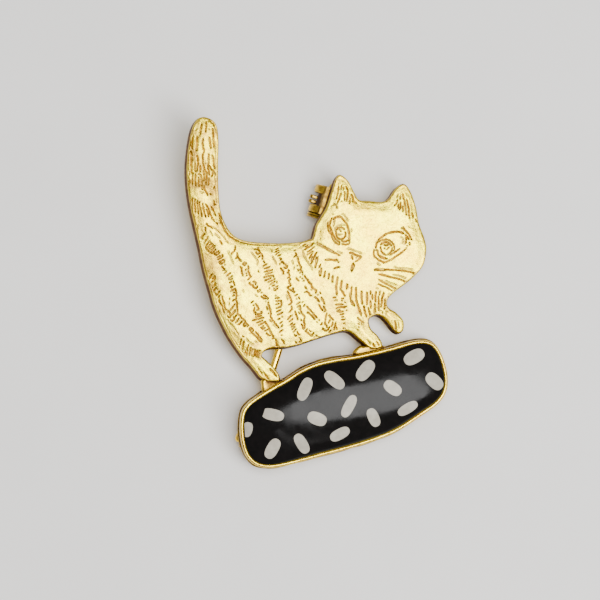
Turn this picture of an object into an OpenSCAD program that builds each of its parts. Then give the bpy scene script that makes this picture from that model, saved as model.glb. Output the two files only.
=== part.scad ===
/* [Cat plate] */
// Width of the cat, from the back of its tail to its cheek
cat_w = 32.5; // [26:0.1:44]
// Height of the cat, from the sole of its hind paw to the tip of its tail
cat_h = 35.6; // [28:0.1:48]
// Thickness of the plate
plate_t = 1.6; // [1:0.1:2.6]
// Width of an engraved line
line_w = 0.24; // [0.16:0.01:0.4]
// Depth of the engraved lines, and of the step that eases the plate's front edge
line_d = 0.18; // [0.08:0.01:0.3]
// Distance from one rung to the next along a band of the coat
rung_step = 1; // [0.7:0.05:1.6]

/* [Bezel] */
// Width of the bezel, left to right
bezel_w = 27.9; // [22:0.1:38]
// Height of the bezel, from its lowest point to its highest
bezel_h = 17.1; // [13:0.1:23]
// Depth of the bezel's wall, front to back
bezel_d = 3; // [2.2:0.1:4.5]
// Thickness of the bezel's wall
bezel_t = 0.4; // [0.3:0.05:0.8]
// Thickness of the plate that closes the bezel's back
back_t = 0.6; // [0.4:0.05:1]
// How far the back plate stands out past the wall
back_lip = 0.25; // [0:0.05:0.5]
// How far the bezel's back lies behind the cat's back
back_drop = 0.8; // [0.2:0.1:1.2]
// Gap between the hind paw's sole and the bezel
paw_gap = 0.6; // [0.3:0.05:1]
// Thickness of the solder feet under the paws
foot_t = 1.2; // [0.6:0.1:1.6]

/* [Stone] */
// Height of the dome above the stone's straight edge
dome_h = 1.7; // [0.8:0.1:3]
// Depth from the bezel's rim down to the edge of the dome
rim_lip = 0.15; // [0:0.05:0.5]
// Depth that the white grains reach below the edge of the dome
grain_d = 0.6; // [0.3:0.1:1.2]
// Size of the white grains, where 1 is as drawn
grain_size = 1; // [0.8:0.05:1.1]
// Gap between the stone and the bezel
stone_gap = 0.06; // [0.03:0.01:0.15]
// Gap between a grain and its pocket
grain_gap = 0.05; // [0.03:0.01:0.1]

/* [Pin] */
// Radius of the pin's wire
pin_r = 0.5; // [0.4:0.05:0.7]
// Gap between the pin's wire and the bezel's back
pin_clear = 1.2; // [1.1:0.05:1.8]
// How much thicker the wire's radius is where it leaves the knuckle
neck_more = 0.1; // [0.05:0.01:0.2]
// Length of that thicker neck, from the rivet
neck_len = 2.6; // [2.2:0.1:4]
// Length of the taper, from the full wire to the point
taper_len = 9; // [8:0.5:12]
// Radius of the wire where the point starts
tip_r = 0.32; // [0.25:0.01:0.38]
// Length of the point
point_len = 1.2; // [0.8:0.1:2]
// How far the point passes the middle of the catch
pin_over = 2.5; // [2.3:0.1:4]
// Radius of the rivet
rivet_r = 0.35; // [0.25:0.05:0.5]
// Thickness of each of the rivet's heads
head_t = 0.35; // [0.2:0.05:0.5]
// Wall of the knuckle round the rivet
knuckle_t = 0.55; // [0.4:0.05:0.7]
// Thickness of each ear of the hinge
ear_t = 0.65; // [0.4:0.05:0.8]
// How far the ears stand out past the knuckle
ear_out = 0.25; // [0.1:0.05:0.4]
// Gap round the rivet, and on each side of the knuckle
hinge_gap = 0.05; // [0.02:0.01:0.09]

/* [Safety catch] */
// Gap between the pin's wire and the bore of the turning sleeve
pin_play = 0.3; // [0.2:0.05:0.4]
// Wall of the turning sleeve
sleeve_t = 0.32; // [0.26:0.02:0.4]
// Gap between the turning sleeve and the rings
catch_gap = 0.06; // [0.02:0.01:0.09]
// Wall of the catch's two rings
ring_t = 0.8; // [0.5:0.05:0.95]
// Length of each ring
ring_w = 1.15; // [0.9:0.05:1.6]
// Width of the slit between the rings, where the levers stand out
slit_w = 1.6; // [1.4:0.05:2]
// Width of the base that the rings stand on
base_w = 2.2; // [1.6:0.1:2.6]
// Gap on each side of the pin's wire in the mouth where it goes in
mouth_gap = 0.15; // [0.1:0.05:0.2]
// Thickness of each lever
lever_t = 0.38; // [0.2:0.02:0.5]
// Gap between the two levers
lever_gap = 0.18; // [0.1:0.02:0.3]
// Width of the levers across their reach
lever_w = 0.8; // [0.5:0.05:1]
// How far the levers stand out past the rings
lever_out = 0.3; // [0:0.05:0.8]
// Thickness of the flange at the sleeve's lower end
flange_t = 0.55; // [0.3:0.05:0.8]

/* [Hidden] */
$fn = 48;
eps = 0.01;
lap = 0.1;

// The drawing that the tables are read from, x to the right and y down. Each table is a share of one of these
// boxes, so it follows the size of the cat or of the bezel.
cat_left = 185.5;
cat_right = 426.3;
cat_top = 116.5;
cat_sole = 383;
bezel_left = 240;
bezel_right = 448;
bezel_top = 341.3;
bezel_foot = 469.3;

// The outline, clockwise from the tip of the tail. A point that is written twice is a corner.
cat_outline = [
    [204, 116.5], [213, 119.5], [218, 127], [219.5, 142], [219, 165], [219.5, 190], [221.5, 210], [227, 225],
    [236, 236], [250, 241], [278, 242.8], [300, 241.5], [311, 238], [311, 238], [314, 226], [319, 217],
    [325, 206], [330, 190], [334, 179], [340, 174], [348, 180], [354, 191], [359, 199], [370, 200.2],
    [382, 201], [387, 198], [394, 188.5], [403.5, 183], [410.5, 191], [416, 207], [419, 223], [424.5, 238],
    [426.3, 250], [422.5, 266], [410, 280], [395, 291.5], [388, 299], [388, 306.5], [396.5, 312.5],
    [403.4, 320.6], [403, 330.5], [397, 334.5], [391, 331.5], [386, 325], [380, 318.5], [374, 316.5],
    [369, 320], [371, 328.5], [377, 334.5], [381.5, 341.5], [382, 347], [375, 350], [367, 349], [358, 342],
    [346, 333], [334, 334.5], [322, 338], [310, 342], [298, 346], [285, 349], [272, 349.5], [265, 351.5],
    [262.5, 355.5], [266, 359], [276, 369], [280.5, 377], [279, 381.5], [273, 383], [266, 382.5],
    [258.5, 379], [251, 369.5], [242.5, 360], [235, 350], [228.5, 340], [223, 330], [214, 310], [208, 290],
    [202.5, 270], [198.5, 250], [194, 230], [189.5, 210], [186.5, 190], [185.5, 170], [187, 150],
    [190.5, 131], [196, 120.5]
];
bezel_outline = [
    [247, 405], [255, 398.5], [270, 389], [285, 380.5], [300, 371], [316, 364], [335, 359.5], [360, 355.5],
    [390, 348.5], [412, 342.3], [426, 341.5], [436, 346.5], [443.5, 359.5], [448, 378], [446.5, 393],
    [438, 405.5], [420, 418.5], [400, 431.5], [380, 440.5], [350, 450], [320, 458], [290, 466], [270, 469.3],
    [256, 466.5], [247, 458.5], [242, 446], [240, 430], [241.5, 414]
];
// The feet: points on the paw and, as the second list, points on the bezel
hind_foot = [[[262, 378], [279, 378]], [[285, 382], [278, 389], [266, 396], [262, 394]]];
fore_foot = [[[359, 345], [381, 344]], [[388, 350], [380, 354], [352, 359], [347, 357]]];
paw_seat = [270, 389];
catch_place = [328, 201];
hinge_place = [252.5, 443];

// The white grains: middle, length, width and slope, anticlockwise
grains = [
    [[304, 390], 24, 11.5, 66], [[333.5, 381], 23, 12, -40], [[364.5, 371.5], 23.5, 13, 50],
    [[413.5, 358], 22, 13, 28], [[434, 382.5], 20.5, 13, -42], [[391.5, 389], 19.5, 12, -35],
    [[347.7, 407], 24, 10.5, 62], [[407, 409.5], 22, 10, 30], [[372.5, 418.5], 19.5, 11, -64],
    [[316, 419.5], 19.5, 12.5, -22], [[272, 415.5], 22.5, 11.5, -12], [[339, 435], 21, 11, 28],
    [[247, 430.5], 15, 10, 75], [[272, 449.5], 21.5, 12, 62], [[301, 444.5], 22, 11, -58]
];
grain_bulge = 2.5;

// The face
left_eye = [[330, 229], [332, 219], [337, 215.5], [343, 219], [348, 229], [349.5, 239], [347, 244], [340, 243.5], [333, 238]];
right_eye = [[374, 252], [376, 241], [384, 233.5], [396, 229.8], [404, 233], [408.5, 240], [402, 249.5], [391, 258], [380, 259.5]];
irises = [[[340.2, 232.8], 5.5], [[385.8, 247.2], 6.7]];
pupil_share = 0.45;
nose = [[349, 252], [361, 256], [355, 261]];
mouth = [[352.5, 262], [351.3, 270]];
whiskers = [
    [[316.5, 242], [340, 255]], [[325, 258.5], [338.5, 260]], [[334, 267.5], [339.5, 266]],
    [[373, 269], [390, 268.5], [416, 273]], [[378, 273], [395, 277], [408, 282.5]], [[377, 280], [397, 289.5]]
];
// Single strokes: hairs of the ears, ruff, chest, leg and toes
strokes = [
    [[336.5, 199], [338, 190]], [[341, 200], [343, 185]], [[345.5, 201], [347, 187]], [[350.5, 201], [351, 192]],
    [[395, 205], [399, 197]], [[400, 211], [401, 195]], [[404, 213], [402.5, 190]], [[408, 216], [406, 196]],
    [[412.5, 219], [411, 208]],
    [[304, 249], [313, 242]], [[307.5, 254], [315, 246.5]], [[309, 258], [314, 252]], [[312, 262.5], [317, 253]],
    [[315, 268], [318, 258]], [[320, 276], [321.5, 268]], [[324, 277], [325.5, 269.5]], [[328.5, 279], [329.5, 272]],
    [[332.5, 282], [333.5, 275]], [[336, 291], [337.5, 279]], [[341.2, 292], [341.5, 281]], [[346.6, 293], [347, 284]],
    [[350.5, 286], [354, 305.7]], [[355.5, 287.4], [361.5, 315.6]], [[361, 290], [366.5, 316]],
    [[366, 291.6], [370.6, 315.6]], [[370.6, 290.3], [374, 314]], [[375.2, 290.7], [374.8, 313]],
    [[379.3, 291.6], [378, 309.8]], [[383.5, 292], [380.6, 309]], [[388, 293.2], [382.2, 311.5]],
    [[356.5, 317.3], [364.8, 323]], [[372.3, 343.5], [374.8, 347.3]], [[376.4, 341], [378.9, 345.5]],
    [[394.3, 319.8], [395.1, 330]], [[269, 368.8], [277, 378]], [[263.7, 371.5], [270, 380.5]]
];
// Bands of the coat: the line that each follows, then the length of its rungs
bands = [
    [[[204, 236], [216, 251], [226, 266], [233.5, 283], [235, 300], [236, 318]], 6],
    [[[210, 273], [216, 286], [222.5, 300], [230, 313], [243, 322], [260, 341]], 6],
    [[[236, 246], [238, 256], [248, 266], [250, 279], [262, 291], [268, 302], [271.5, 317], [279, 328]], 5],
    [[[257, 248], [264, 262], [272, 278], [277, 296], [280, 312], [283, 344]], 8],
    [[[252, 300], [259, 312], [266, 329], [277, 346]], 8],
    [[[277, 249], [285, 264], [289, 280], [295, 291], [301, 308], [304, 325], [316, 336]], 5],
    [[[293, 250], [304, 275], [317, 293], [325, 308], [329, 326]], 5],
    [[[289, 314], [295, 328], [300, 340]], 7]
];
// Long lines of the tail
tail_lines = [[[193, 140], [192, 160], [193.5, 184]], [[199, 125], [198.5, 150], [200, 186]],
    [[206, 122], [205, 150], [206.5, 186]], [[213, 130], [212.5, 155], [213, 186]]];
// Hatched patches: middle of the first and last stroke, length of a stroke, its slope and the count
hatches = [
    [[193, 200], [211, 214], 15, 80, 6], [[204, 226], [226, 238], 10, 65, 7], [[232, 338], [258, 352], 13, 70, 9],
    [[334, 304], [343, 324], 7, 35, 6]
];

curve_steps = 3;
sides_grain = 20;
dome_rings = [1, 0.95, 0.87, 0.75, 0.6, 0.4, 0.2];
dome_power = 2.2;
settle_rounds = 4;

function unit(v) = v / norm(v);
function left_of(v) = [-v.y, v.x];
function at(list, i) = list[(i + len(list)) % len(list)];
function deg(v) = atan2(v.y, v.x);

// A place in the drawing, as a place on the cat or on the bezel in millimetres
function on_cat(p) = [
    (p.x - cat_left) / (cat_right - cat_left) * cat_w,
    (cat_sole - p.y) / (cat_sole - cat_top) * cat_h
];
function in_bezel(p) = [
    (p.x - bezel_left) / (bezel_right - bezel_left) * bezel_w,
    (bezel_foot - p.y) / (bezel_foot - bezel_top) * bezel_h
];
bezel_at = [on_cat(paw_seat).x, -paw_gap] - in_bezel(paw_seat);
function on_bezel(p) = bezel_at + in_bezel(p);
// One unit of the drawing, on the cat and on the bezel
cat_unit = cat_w / (cat_right - cat_left);
bezel_unit = bezel_w / (bezel_right - bezel_left);
function all_on_cat(list) = [for (p = list) on_cat(p)];
function all_on_bezel(list) = [for (p = list) on_bezel(p)];

// A smooth curve through b and c, with a before them and d after them
function through(a, b, c, d, t) = b + t * ((c - a) + t * ((2 * a - 5 * b + 4 * c - d)
    + t * (3 * b - 3 * c + d - a))) / 2;
function closed_curve(p, n) = [
    for (i = [0:len(p) - 1]) if (p[i] != at(p, i + 1)) for (k = [0:n - 1])
        through(at(p, i - 1), p[i], at(p, i + 1), at(p, i + 2), k / n)
];
function open_curve(p, n) = [
    for (i = [0:len(p) - 2]) for (k = [0:n - 1])
        through(p[max(i - 1, 0)], p[i], p[i + 1], p[min(i + 2, len(p) - 1)], k / n),
    p[len(p) - 1]
];
// A clockwise outline, moved inwards
function inset(p, d) = [
    for (i = [0:len(p) - 1]) p[i] - d * left_of(unit(at(p, i + 1) - at(p, i - 1)))
];

cat_points = closed_curve(all_on_cat(cat_outline), curve_steps);
bezel_points = closed_curve(all_on_bezel(bezel_outline), curve_steps);
stone_points = inset(bezel_points, bezel_t + stone_gap);
stone_mid = (on_bezel([bezel_left, bezel_top]) + on_bezel([bezel_right, bezel_foot])) / 2;

// The levels, from the cat's back at 0
bezel_back = -back_drop;
bezel_rim = bezel_back + bezel_d;
stone_base = bezel_back + back_t + stone_gap;
dome_edge = bezel_rim - rim_lip;

// The pin's line, from the hinge to the catch
hinge_at = on_bezel(hinge_place);
catch_at = on_cat(catch_place);
pin_dir = unit(catch_at - hinge_at);
catch_far = norm(catch_at - hinge_at);
pin_len = catch_far + pin_over;
pin_drop = back_drop + pin_clear + pin_r;

// The hinge, outwards from its rivet
knuckle_r = rivet_r + hinge_gap + knuckle_t;
knuckle_w = 2 * (pin_r + neck_more);
ear_r = knuckle_r + ear_out;
fork_w = knuckle_w + 2 * hinge_gap;
hinge_w = fork_w + 2 * ear_t;

// The catch, outwards from the wire
sleeve_bore = pin_r + pin_play;
sleeve_r = sleeve_bore + sleeve_t;
ring_bore = sleeve_r + catch_gap;
ring_r = ring_bore + ring_t;
housing_len = 2 * ring_w + slit_w;
mouth_w = 2 * (pin_r + mouth_gap);

// How the brooch lies on its back: on the near end of the catch, a corner of the hinge and the bezel's right edge
lip_points = inset(bezel_points, -back_lip);
function furthest(list, dir) = let (reach = [for (p = list) p * dir]) list[search(max(reach), reach)[0]];
right_lip = furthest(lip_points, -left_of(pin_dir));
hinge_corner = hinge_at - left_of(pin_dir) * hinge_w / 2;
catch_end = catch_at - pin_dir * housing_len / 2;
on_lip = [right_lip.x, right_lip.y, bezel_back];
function on_hinge(up) = [hinge_corner.x, hinge_corner.y, -pin_drop] - ear_r * up;
function on_ring(up) = [catch_end.x, catch_end.y, -pin_drop] - ring_r * up;
function settle(up, n) = n <= 0 ? up : settle(unit(cross(on_lip - on_hinge(up), on_ring(up) - on_hinge(up))), n - 1);
up = settle([0, 0, 1], settle_rounds);
lie_angle = acos(up.z);
lie_axis = unit(cross(up, [0, 0, 1]));
function lain(p) = p * cos(lie_angle) + cross(lie_axis, p) * sin(lie_angle)
    + lie_axis * (lie_axis * p) * (1 - cos(lie_angle));
function level(list, z) = [for (p = list) lain([p.x, p.y, z])];
corners = concat(level(cat_points, 0), level(cat_points, plate_t), level(lip_points, bezel_back),
    level(bezel_points, bezel_rim));
xs = [for (p = corners) p.x];
ys = [for (p = corners) p.y];
rest_at = [(min(xs) + max(xs)) / 2, (min(ys) + max(ys)) / 2, lain(on_lip).z];

function grain_name(i) = str("dash_", i < 9 ? "0" : "", i + 1);

// Lays a piece down as the brooch lies
module lie() {
    translate(-rest_at) rotate(a = lie_angle, v = lie_axis) children();
}

// Stands a piece in the pin's frame: X along the pin, Y to the left, Z to the front
module on_pin(along = 0) {
    translate([hinge_at.x, hinge_at.y, -pin_drop]) rotate(deg(pin_dir)) translate([along, 0, 0]) children();
}

// A round bar along X from one place to another, which may end in another radius
module bar(r, from, to, end_r = undef) {
    translate([from, 0, 0]) rotate([0, 90, 0]) cylinder(r1 = r, r2 = is_undef(end_r) ? r : end_r, h = to - from);
}

// A round bar across the pin, as wide as w
module cross_bar(r, w) {
    rotate([90, 0, 0]) cylinder(r = r, h = w, center = true);
}

// A line of even width along a chain of points
module line(p, w) {
    for (i = [0:len(p) - 2]) let (side = left_of(unit(p[i + 1] - p[i])) * w / 2, more = unit(p[i + 1] - p[i]) * w / 4)
        polygon([p[i] - side - more, p[i + 1] - side + more, p[i + 1] + side + more, p[i] + side - more]);
}

// A burin's stroke, which starts and ends in a point
module stroke(a, b, w) {
    let (middle = (a + b) / 2, side = left_of(unit(b - a)) * w / 2)
        polygon([a, middle - side, b, middle + side]);
}

// A short wedge, as wide as w where the burin starts
module tick(a, b, w) {
    let (side = left_of(unit(b - a)) * w / 2)
        polygon([a - side, b, a + side]);
}

// A ring of even width along an outline
module outline_ring(p, w) {
    line(concat(p, [p[0]]), w);
}

// A band of the coat: rungs across the line that it follows
module band(chain, rung) {
    p = open_curve(all_on_cat(chain), 4);
    far = [for (i = 0, d = 0; i < len(p); d = d + (i + 1 < len(p) ? norm(p[i + 1] - p[i]) : 0), i = i + 1) d];
    for (d = [rung_step / 2:rung_step:far[len(far) - 1]]) {
        i = max([for (k = [0:len(p) - 2]) if (far[k] <= d) k]);
        way = unit(p[i + 1] - p[i]);
        here = p[i] + way * (d - far[i]);
        reach = left_of(way) * rung * cat_unit / 2;
        tick(here - reach, here + reach, line_w);
    }
}

// A patch of strokes side by side
module hatch(first, last, length, slope, count) {
    for (k = [0:count - 1])
        let (here = on_cat(first + (last - first) * k / (count - 1)),
             reach = [cos(slope), sin(slope)] * length * cat_unit / 2)
            tick(here - reach, here + reach, line_w);
}

// All that is engraved on the cat
module engraving() {
    for (eye = [left_eye, right_eye])
        outline_ring(closed_curve(all_on_cat(eye), 2), line_w);
    for (iris = irises) let (r = iris[1] * cat_unit) translate(on_cat(iris[0])) {
        difference() {
            circle(r, $fn = 16);
            circle(r - line_w, $fn = 16);
        }
        circle(r * pupil_share, $fn = 8);
    }
    polygon(all_on_cat(nose));
    line(all_on_cat(mouth), line_w);
    for (chain = whiskers)
        line(all_on_cat(chain), line_w * 0.8);
    for (s = strokes)
        stroke(on_cat(s[0]), on_cat(s[1]), line_w);
    for (b = bands)
        band(b[0], b[1]);
    for (chain = tail_lines)
        line(open_curve(all_on_cat(chain), 2), line_w);
    for (h = hatches)
        hatch(h[0], h[1], h[2], h[3], h[4]);
}

// The cat and its feet as seen from the front, cut clear of the stone
module cat_shape() {
    difference() {
        polygon(cat_points);
        polygon(inset(bezel_points, bezel_t / 2));
    }
}

module foot(marks) {
    difference() {
        polygon(concat(all_on_cat(marks[0]), all_on_bezel(marks[1])));
        polygon(inset(bezel_points, bezel_t / 2));
    }
}

module cat_plate() {
    linear_extrude(plate_t - line_d) cat_shape();
    translate([0, 0, plate_t - line_d]) linear_extrude(line_d) offset(delta = 0) difference() {
        offset(delta = -line_d) cat_shape();
        engraving();
    }
    linear_extrude(foot_t) for (marks = [hind_foot, fore_foot])
        foot(marks);
}

module bezel() {
    translate([0, 0, bezel_back]) {
        linear_extrude(back_t) polygon(lip_points);
        linear_extrude(bezel_d) difference() {
            polygon(bezel_points);
            polygon(inset(bezel_points, bezel_t));
        }
    }
}

// The two rings of the catch and the base that carries them
module catch_housing() {
    on_pin(catch_far) difference() {
        union() {
            for (start = [-housing_len / 2, slit_w / 2])
                bar(ring_r, start, start + ring_w);
            translate([-housing_len / 2, -base_w / 2, 0]) cube([housing_len, base_w, pin_drop]);
        }
        bar(ring_bore, -housing_len, housing_len);
        translate([-housing_len, -mouth_w / 2, -2 * ring_r]) cube([2 * housing_len, mouth_w, 2 * ring_r]);
    }
}

// The bracket's two ears, and the web that joins them under the bezel
module hinge_bracket() {
    on_pin() difference() {
        union() {
            cross_bar(ear_r, hinge_w);
            translate([-ear_r, -hinge_w / 2, 0]) cube([2 * ear_r, hinge_w, pin_drop - back_drop + lap]);
        }
        translate([-2 * ear_r, -fork_w / 2, -2 * ear_r]) cube([4 * ear_r, fork_w, 2 * ear_r + knuckle_r + hinge_gap]);
        cross_bar(rivet_r + hinge_gap / 2, 2 * hinge_w);
    }
}

module cat_setting() {
    color("khaki") lie() {
        cat_plate();
        bezel();
        catch_housing();
        hinge_bracket();
    }
}

// The dome, ring by ring from its base to its top
module dome() {
    n = len(stone_points);
    rings = [for (s = dome_rings) [s, dome_edge + dome_h * (1 - pow(s, dome_power))]];
    points = concat(
        [for (p = stone_points) [p.x, p.y, stone_base]],
        [for (r = rings) for (p = stone_points) let (q = stone_mid + r[0] * (p - stone_mid)) [q.x, q.y, r[1]]],
        [[stone_mid.x, stone_mid.y, stone_base], [stone_mid.x, stone_mid.y, dome_edge + dome_h]]
    );
    base_mid = len(points) - 2;
    top = len(points) - 1;
    last = len(rings) * n;
    faces = concat(
        [for (i = [0:n - 1]) [base_mid, (i + 1) % n, i]],
        [for (k = [0:len(rings) - 1]) for (i = [0:n - 1]) let (a = k * n + i, b = k * n + (i + 1) % n) [a, b, b + n]],
        [for (k = [0:len(rings) - 1]) for (i = [0:n - 1]) let (a = k * n + i, b = k * n + (i + 1) % n) [a, b + n, a + n]],
        [for (i = [0:n - 1]) [last + i, last + (i + 1) % n, top]]
    );
    polyhedron(points, faces);
}

// A grain's outline, a rounded oblong, made larger all round by more
module grain_shape(i, more = 0) {
    g = grains[i];
    size = [g[1], g[2]] * bezel_unit / 2 * grain_size + [more, more];
    translate(on_bezel(g[0])) rotate(g[3]) polygon([
        for (k = [0:sides_grain - 1]) let (a = 360 * k / sides_grain) [
            size.x * sign(cos(a)) * pow(abs(cos(a)), 2 / grain_bulge),
            size.y * sign(sin(a)) * pow(abs(sin(a)), 2 / grain_bulge)
        ]
    ]);
}

module grain_bar(i, more = 0) {
    translate([0, 0, dome_edge - grain_d - more]) linear_extrude(dome_h + 2 * grain_d) grain_shape(i, more);
}

module cabochon() {
    color("#151413") lie() difference() {
        dome();
        for (i = [0:len(grains) - 1])
            grain_bar(i, grain_gap);
    }
}

module dash(i) {
    color("gainsboro") lie() intersection() {
        dome();
        grain_bar(i);
    }
}

module pin_stem() {
    point = pin_len - point_len;
    color("gold") lie() on_pin() difference() {
        union() {
            cross_bar(knuckle_r, knuckle_w);
            bar(pin_r + neck_more, 0, neck_len, pin_r);
            bar(pin_r, neck_len, point - taper_len);
            bar(pin_r, point - taper_len, point, tip_r);
            bar(tip_r, point, pin_len, eps);
        }
        cross_bar(rivet_r + hinge_gap, 2 * knuckle_w);
    }
}

module hinge_rivet() {
    color("gold") lie() on_pin() {
        cross_bar(rivet_r, hinge_w + head_t);
        for (side = [-1, 1])
            translate([0, side * (hinge_w / 2 + hinge_gap + head_t / 2), 0]) cross_bar(rivet_r * 2, head_t);
    }
}

module catch_sleeve() {
    near = housing_len / 2 + catch_gap;
    color("gold") lie() on_pin(catch_far) difference() {
        union() {
            bar(sleeve_r, -near - flange_t, near, $fn = 96);
            bar(ring_r, -near - flange_t, -near);
            for (start = [-lever_gap / 2 - lever_t, lever_gap / 2])
                translate([start, 0, -lever_w / 2]) cube([lever_t, ring_r + lever_out, lever_w]);
        }
        bar(sleeve_bore, -2 * near, 2 * near, $fn = 96);
        translate([-2 * near, -mouth_w / 2, -2 * ring_r]) cube([4 * near, mouth_w, 2 * ring_r]);
    }
}

cat_setting();
cabochon();
pin_stem();
hinge_rivet();
catch_sleeve();
for (i = [0:len(grains) - 1])
    dash(i);
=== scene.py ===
import math

import bmesh
import bpy
import numpy as np
from mathutils import Matrix, Vector, geometry, kdtree
from mathutils.bvhtree import BVHTree


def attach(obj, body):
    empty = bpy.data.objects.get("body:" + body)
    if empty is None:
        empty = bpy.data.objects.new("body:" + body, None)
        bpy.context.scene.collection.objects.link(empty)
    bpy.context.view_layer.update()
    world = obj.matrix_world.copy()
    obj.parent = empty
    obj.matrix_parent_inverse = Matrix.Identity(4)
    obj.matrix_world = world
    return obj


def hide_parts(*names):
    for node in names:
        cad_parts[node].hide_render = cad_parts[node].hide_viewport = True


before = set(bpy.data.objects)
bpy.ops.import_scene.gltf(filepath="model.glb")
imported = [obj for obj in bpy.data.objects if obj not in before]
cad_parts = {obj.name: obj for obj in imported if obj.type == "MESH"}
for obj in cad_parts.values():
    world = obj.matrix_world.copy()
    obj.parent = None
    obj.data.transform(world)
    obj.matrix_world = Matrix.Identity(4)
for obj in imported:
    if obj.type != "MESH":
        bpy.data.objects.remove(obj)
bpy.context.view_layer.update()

# Sizes in millimetres, as in part.scad
CAT_W, CAT_H, PLATE_T = 32.5, 35.6, 1.6
BEZEL_W, BEZEL_H, BEZEL_D, BEZEL_T = 27.9, 17.1, 3.0, 0.4
BACK_T, BACK_LIP, BACK_DROP, PAW_GAP, FOOT_T = 0.6, 0.25, 0.8, 0.6, 1.2
DOME_H, RIM_LIP, GRAIN_D, STONE_GAP = 1.7, 0.15, 0.6, 0.06
PIN_R, PIN_CLEAR, NECK_MORE, NECK_LEN = 0.5, 1.2, 0.1, 2.6
TAPER_LEN, TIP_R, POINT_LEN, PIN_OVER = 9, 0.32, 1.2, 2.5
RIVET_R, HEAD_T, KNUCKLE_T, EAR_T, EAR_OUT, HINGE_GAP = 0.35, 0.35, 0.55, 0.65, 0.25, 0.05
PIN_PLAY, SLEEVE_T, CATCH_GAP, MOUTH_GAP = 0.3, 0.32, 0.06, 0.15
RING_T, RING_W, SLIT_W, BASE_W = 0.8, 1.15, 1.6, 2.2
LEVER_T, LEVER_GAP, LEVER_W, LEVER_OUT, FLANGE_T = 0.38, 0.18, 0.8, 0.3, 0.55

# The drawing that the tables are read from, x to the right and y down. A point that is written twice is a corner.
CAT_LEFT, CAT_RIGHT, CAT_TOP, CAT_SOLE = 185.5, 426.3, 116.5, 383
BEZEL_LEFT, BEZEL_RIGHT, BEZEL_TOP, BEZEL_FOOT = 240, 448, 341.3, 469.3

CAT_OUTLINE = [
    (204, 116.5), (213, 119.5), (218, 127), (219.5, 142), (219, 165), (219.5, 190), (221.5, 210), (227, 225),
    (236, 236), (250, 241), (278, 242.8), (300, 241.5), (311, 238), (311, 238), (314, 226), (319, 217),
    (325, 206), (330, 190), (334, 179), (340, 174), (348, 180), (354, 191), (359, 199), (370, 200.2),
    (382, 201), (387, 198), (394, 188.5), (403.5, 183), (410.5, 191), (416, 207), (419, 223), (424.5, 238),
    (426.3, 250), (422.5, 266), (410, 280), (395, 291.5), (388, 299), (388, 306.5), (396.5, 312.5),
    (403.4, 320.6), (403, 330.5), (397, 334.5), (391, 331.5), (386, 325), (380, 318.5), (374, 316.5),
    (369, 320), (371, 328.5), (377, 334.5), (381.5, 341.5), (382, 347), (375, 350), (367, 349), (358, 342),
    (346, 333), (334, 334.5), (322, 338), (310, 342), (298, 346), (285, 349), (272, 349.5), (265, 351.5),
    (262.5, 355.5), (266, 359), (276, 369), (280.5, 377), (279, 381.5), (273, 383), (266, 382.5),
    (258.5, 379), (251, 369.5), (242.5, 360), (235, 350), (228.5, 340), (223, 330), (214, 310), (208, 290),
    (202.5, 270), (198.5, 250), (194, 230), (189.5, 210), (186.5, 190), (185.5, 170), (187, 150),
    (190.5, 131), (196, 120.5)]
BEZEL_OUTLINE = [
    (247, 405), (255, 398.5), (270, 389), (285, 380.5), (300, 371), (316, 364), (335, 359.5), (360, 355.5),
    (390, 348.5), (412, 342.3), (426, 341.5), (436, 346.5), (443.5, 359.5), (448, 378), (446.5, 393),
    (438, 405.5), (420, 418.5), (400, 431.5), (380, 440.5), (350, 450), (320, 458), (290, 466), (270, 469.3),
    (256, 466.5), (247, 458.5), (242, 446), (240, 430), (241.5, 414)]
HIND_FOOT = ([(262, 378), (279, 378)], [(285, 382), (278, 389), (266, 396), (262, 394)])
FORE_FOOT = ([(359, 345), (381, 344)], [(388, 350), (380, 354), (358, 358), (352, 356)])
PAW_SEAT, CATCH_PLACE, HINGE_PLACE = (270, 389), (328, 201), (252.5, 443)

# The white grains: middle, length, width and slope, anticlockwise, and how far out a broken left end is
GRAINS = [
    ((304, 390), 24, 11.5, 66), ((333.5, 381), 23, 12, -40), ((364.5, 371.5), 23.5, 13, 50),
    ((413.5, 358), 22, 13, 28), ((434, 382.5), 20.5, 13, -42), ((391.5, 389), 19.5, 12, -35),
    ((347.7, 407), 24, 10.5, 62), ((407, 409.5), 22, 10, 30), ((372.5, 418.5), 19.5, 11, -64),
    ((316, 419.5), 19.5, 12.5, -22), ((272, 415.5), 22.5, 11.5, -12, 0.8), ((339, 435), 21, 11, 28),
    ((247, 430.5), 15, 10, 75), ((272, 449.5), 21.5, 12, 62), ((301, 444.5), 22, 11, -58)]
# The power of the grains' ovals: 2 would be an ellipse
GRAIN_BULGE = 2.5

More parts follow.
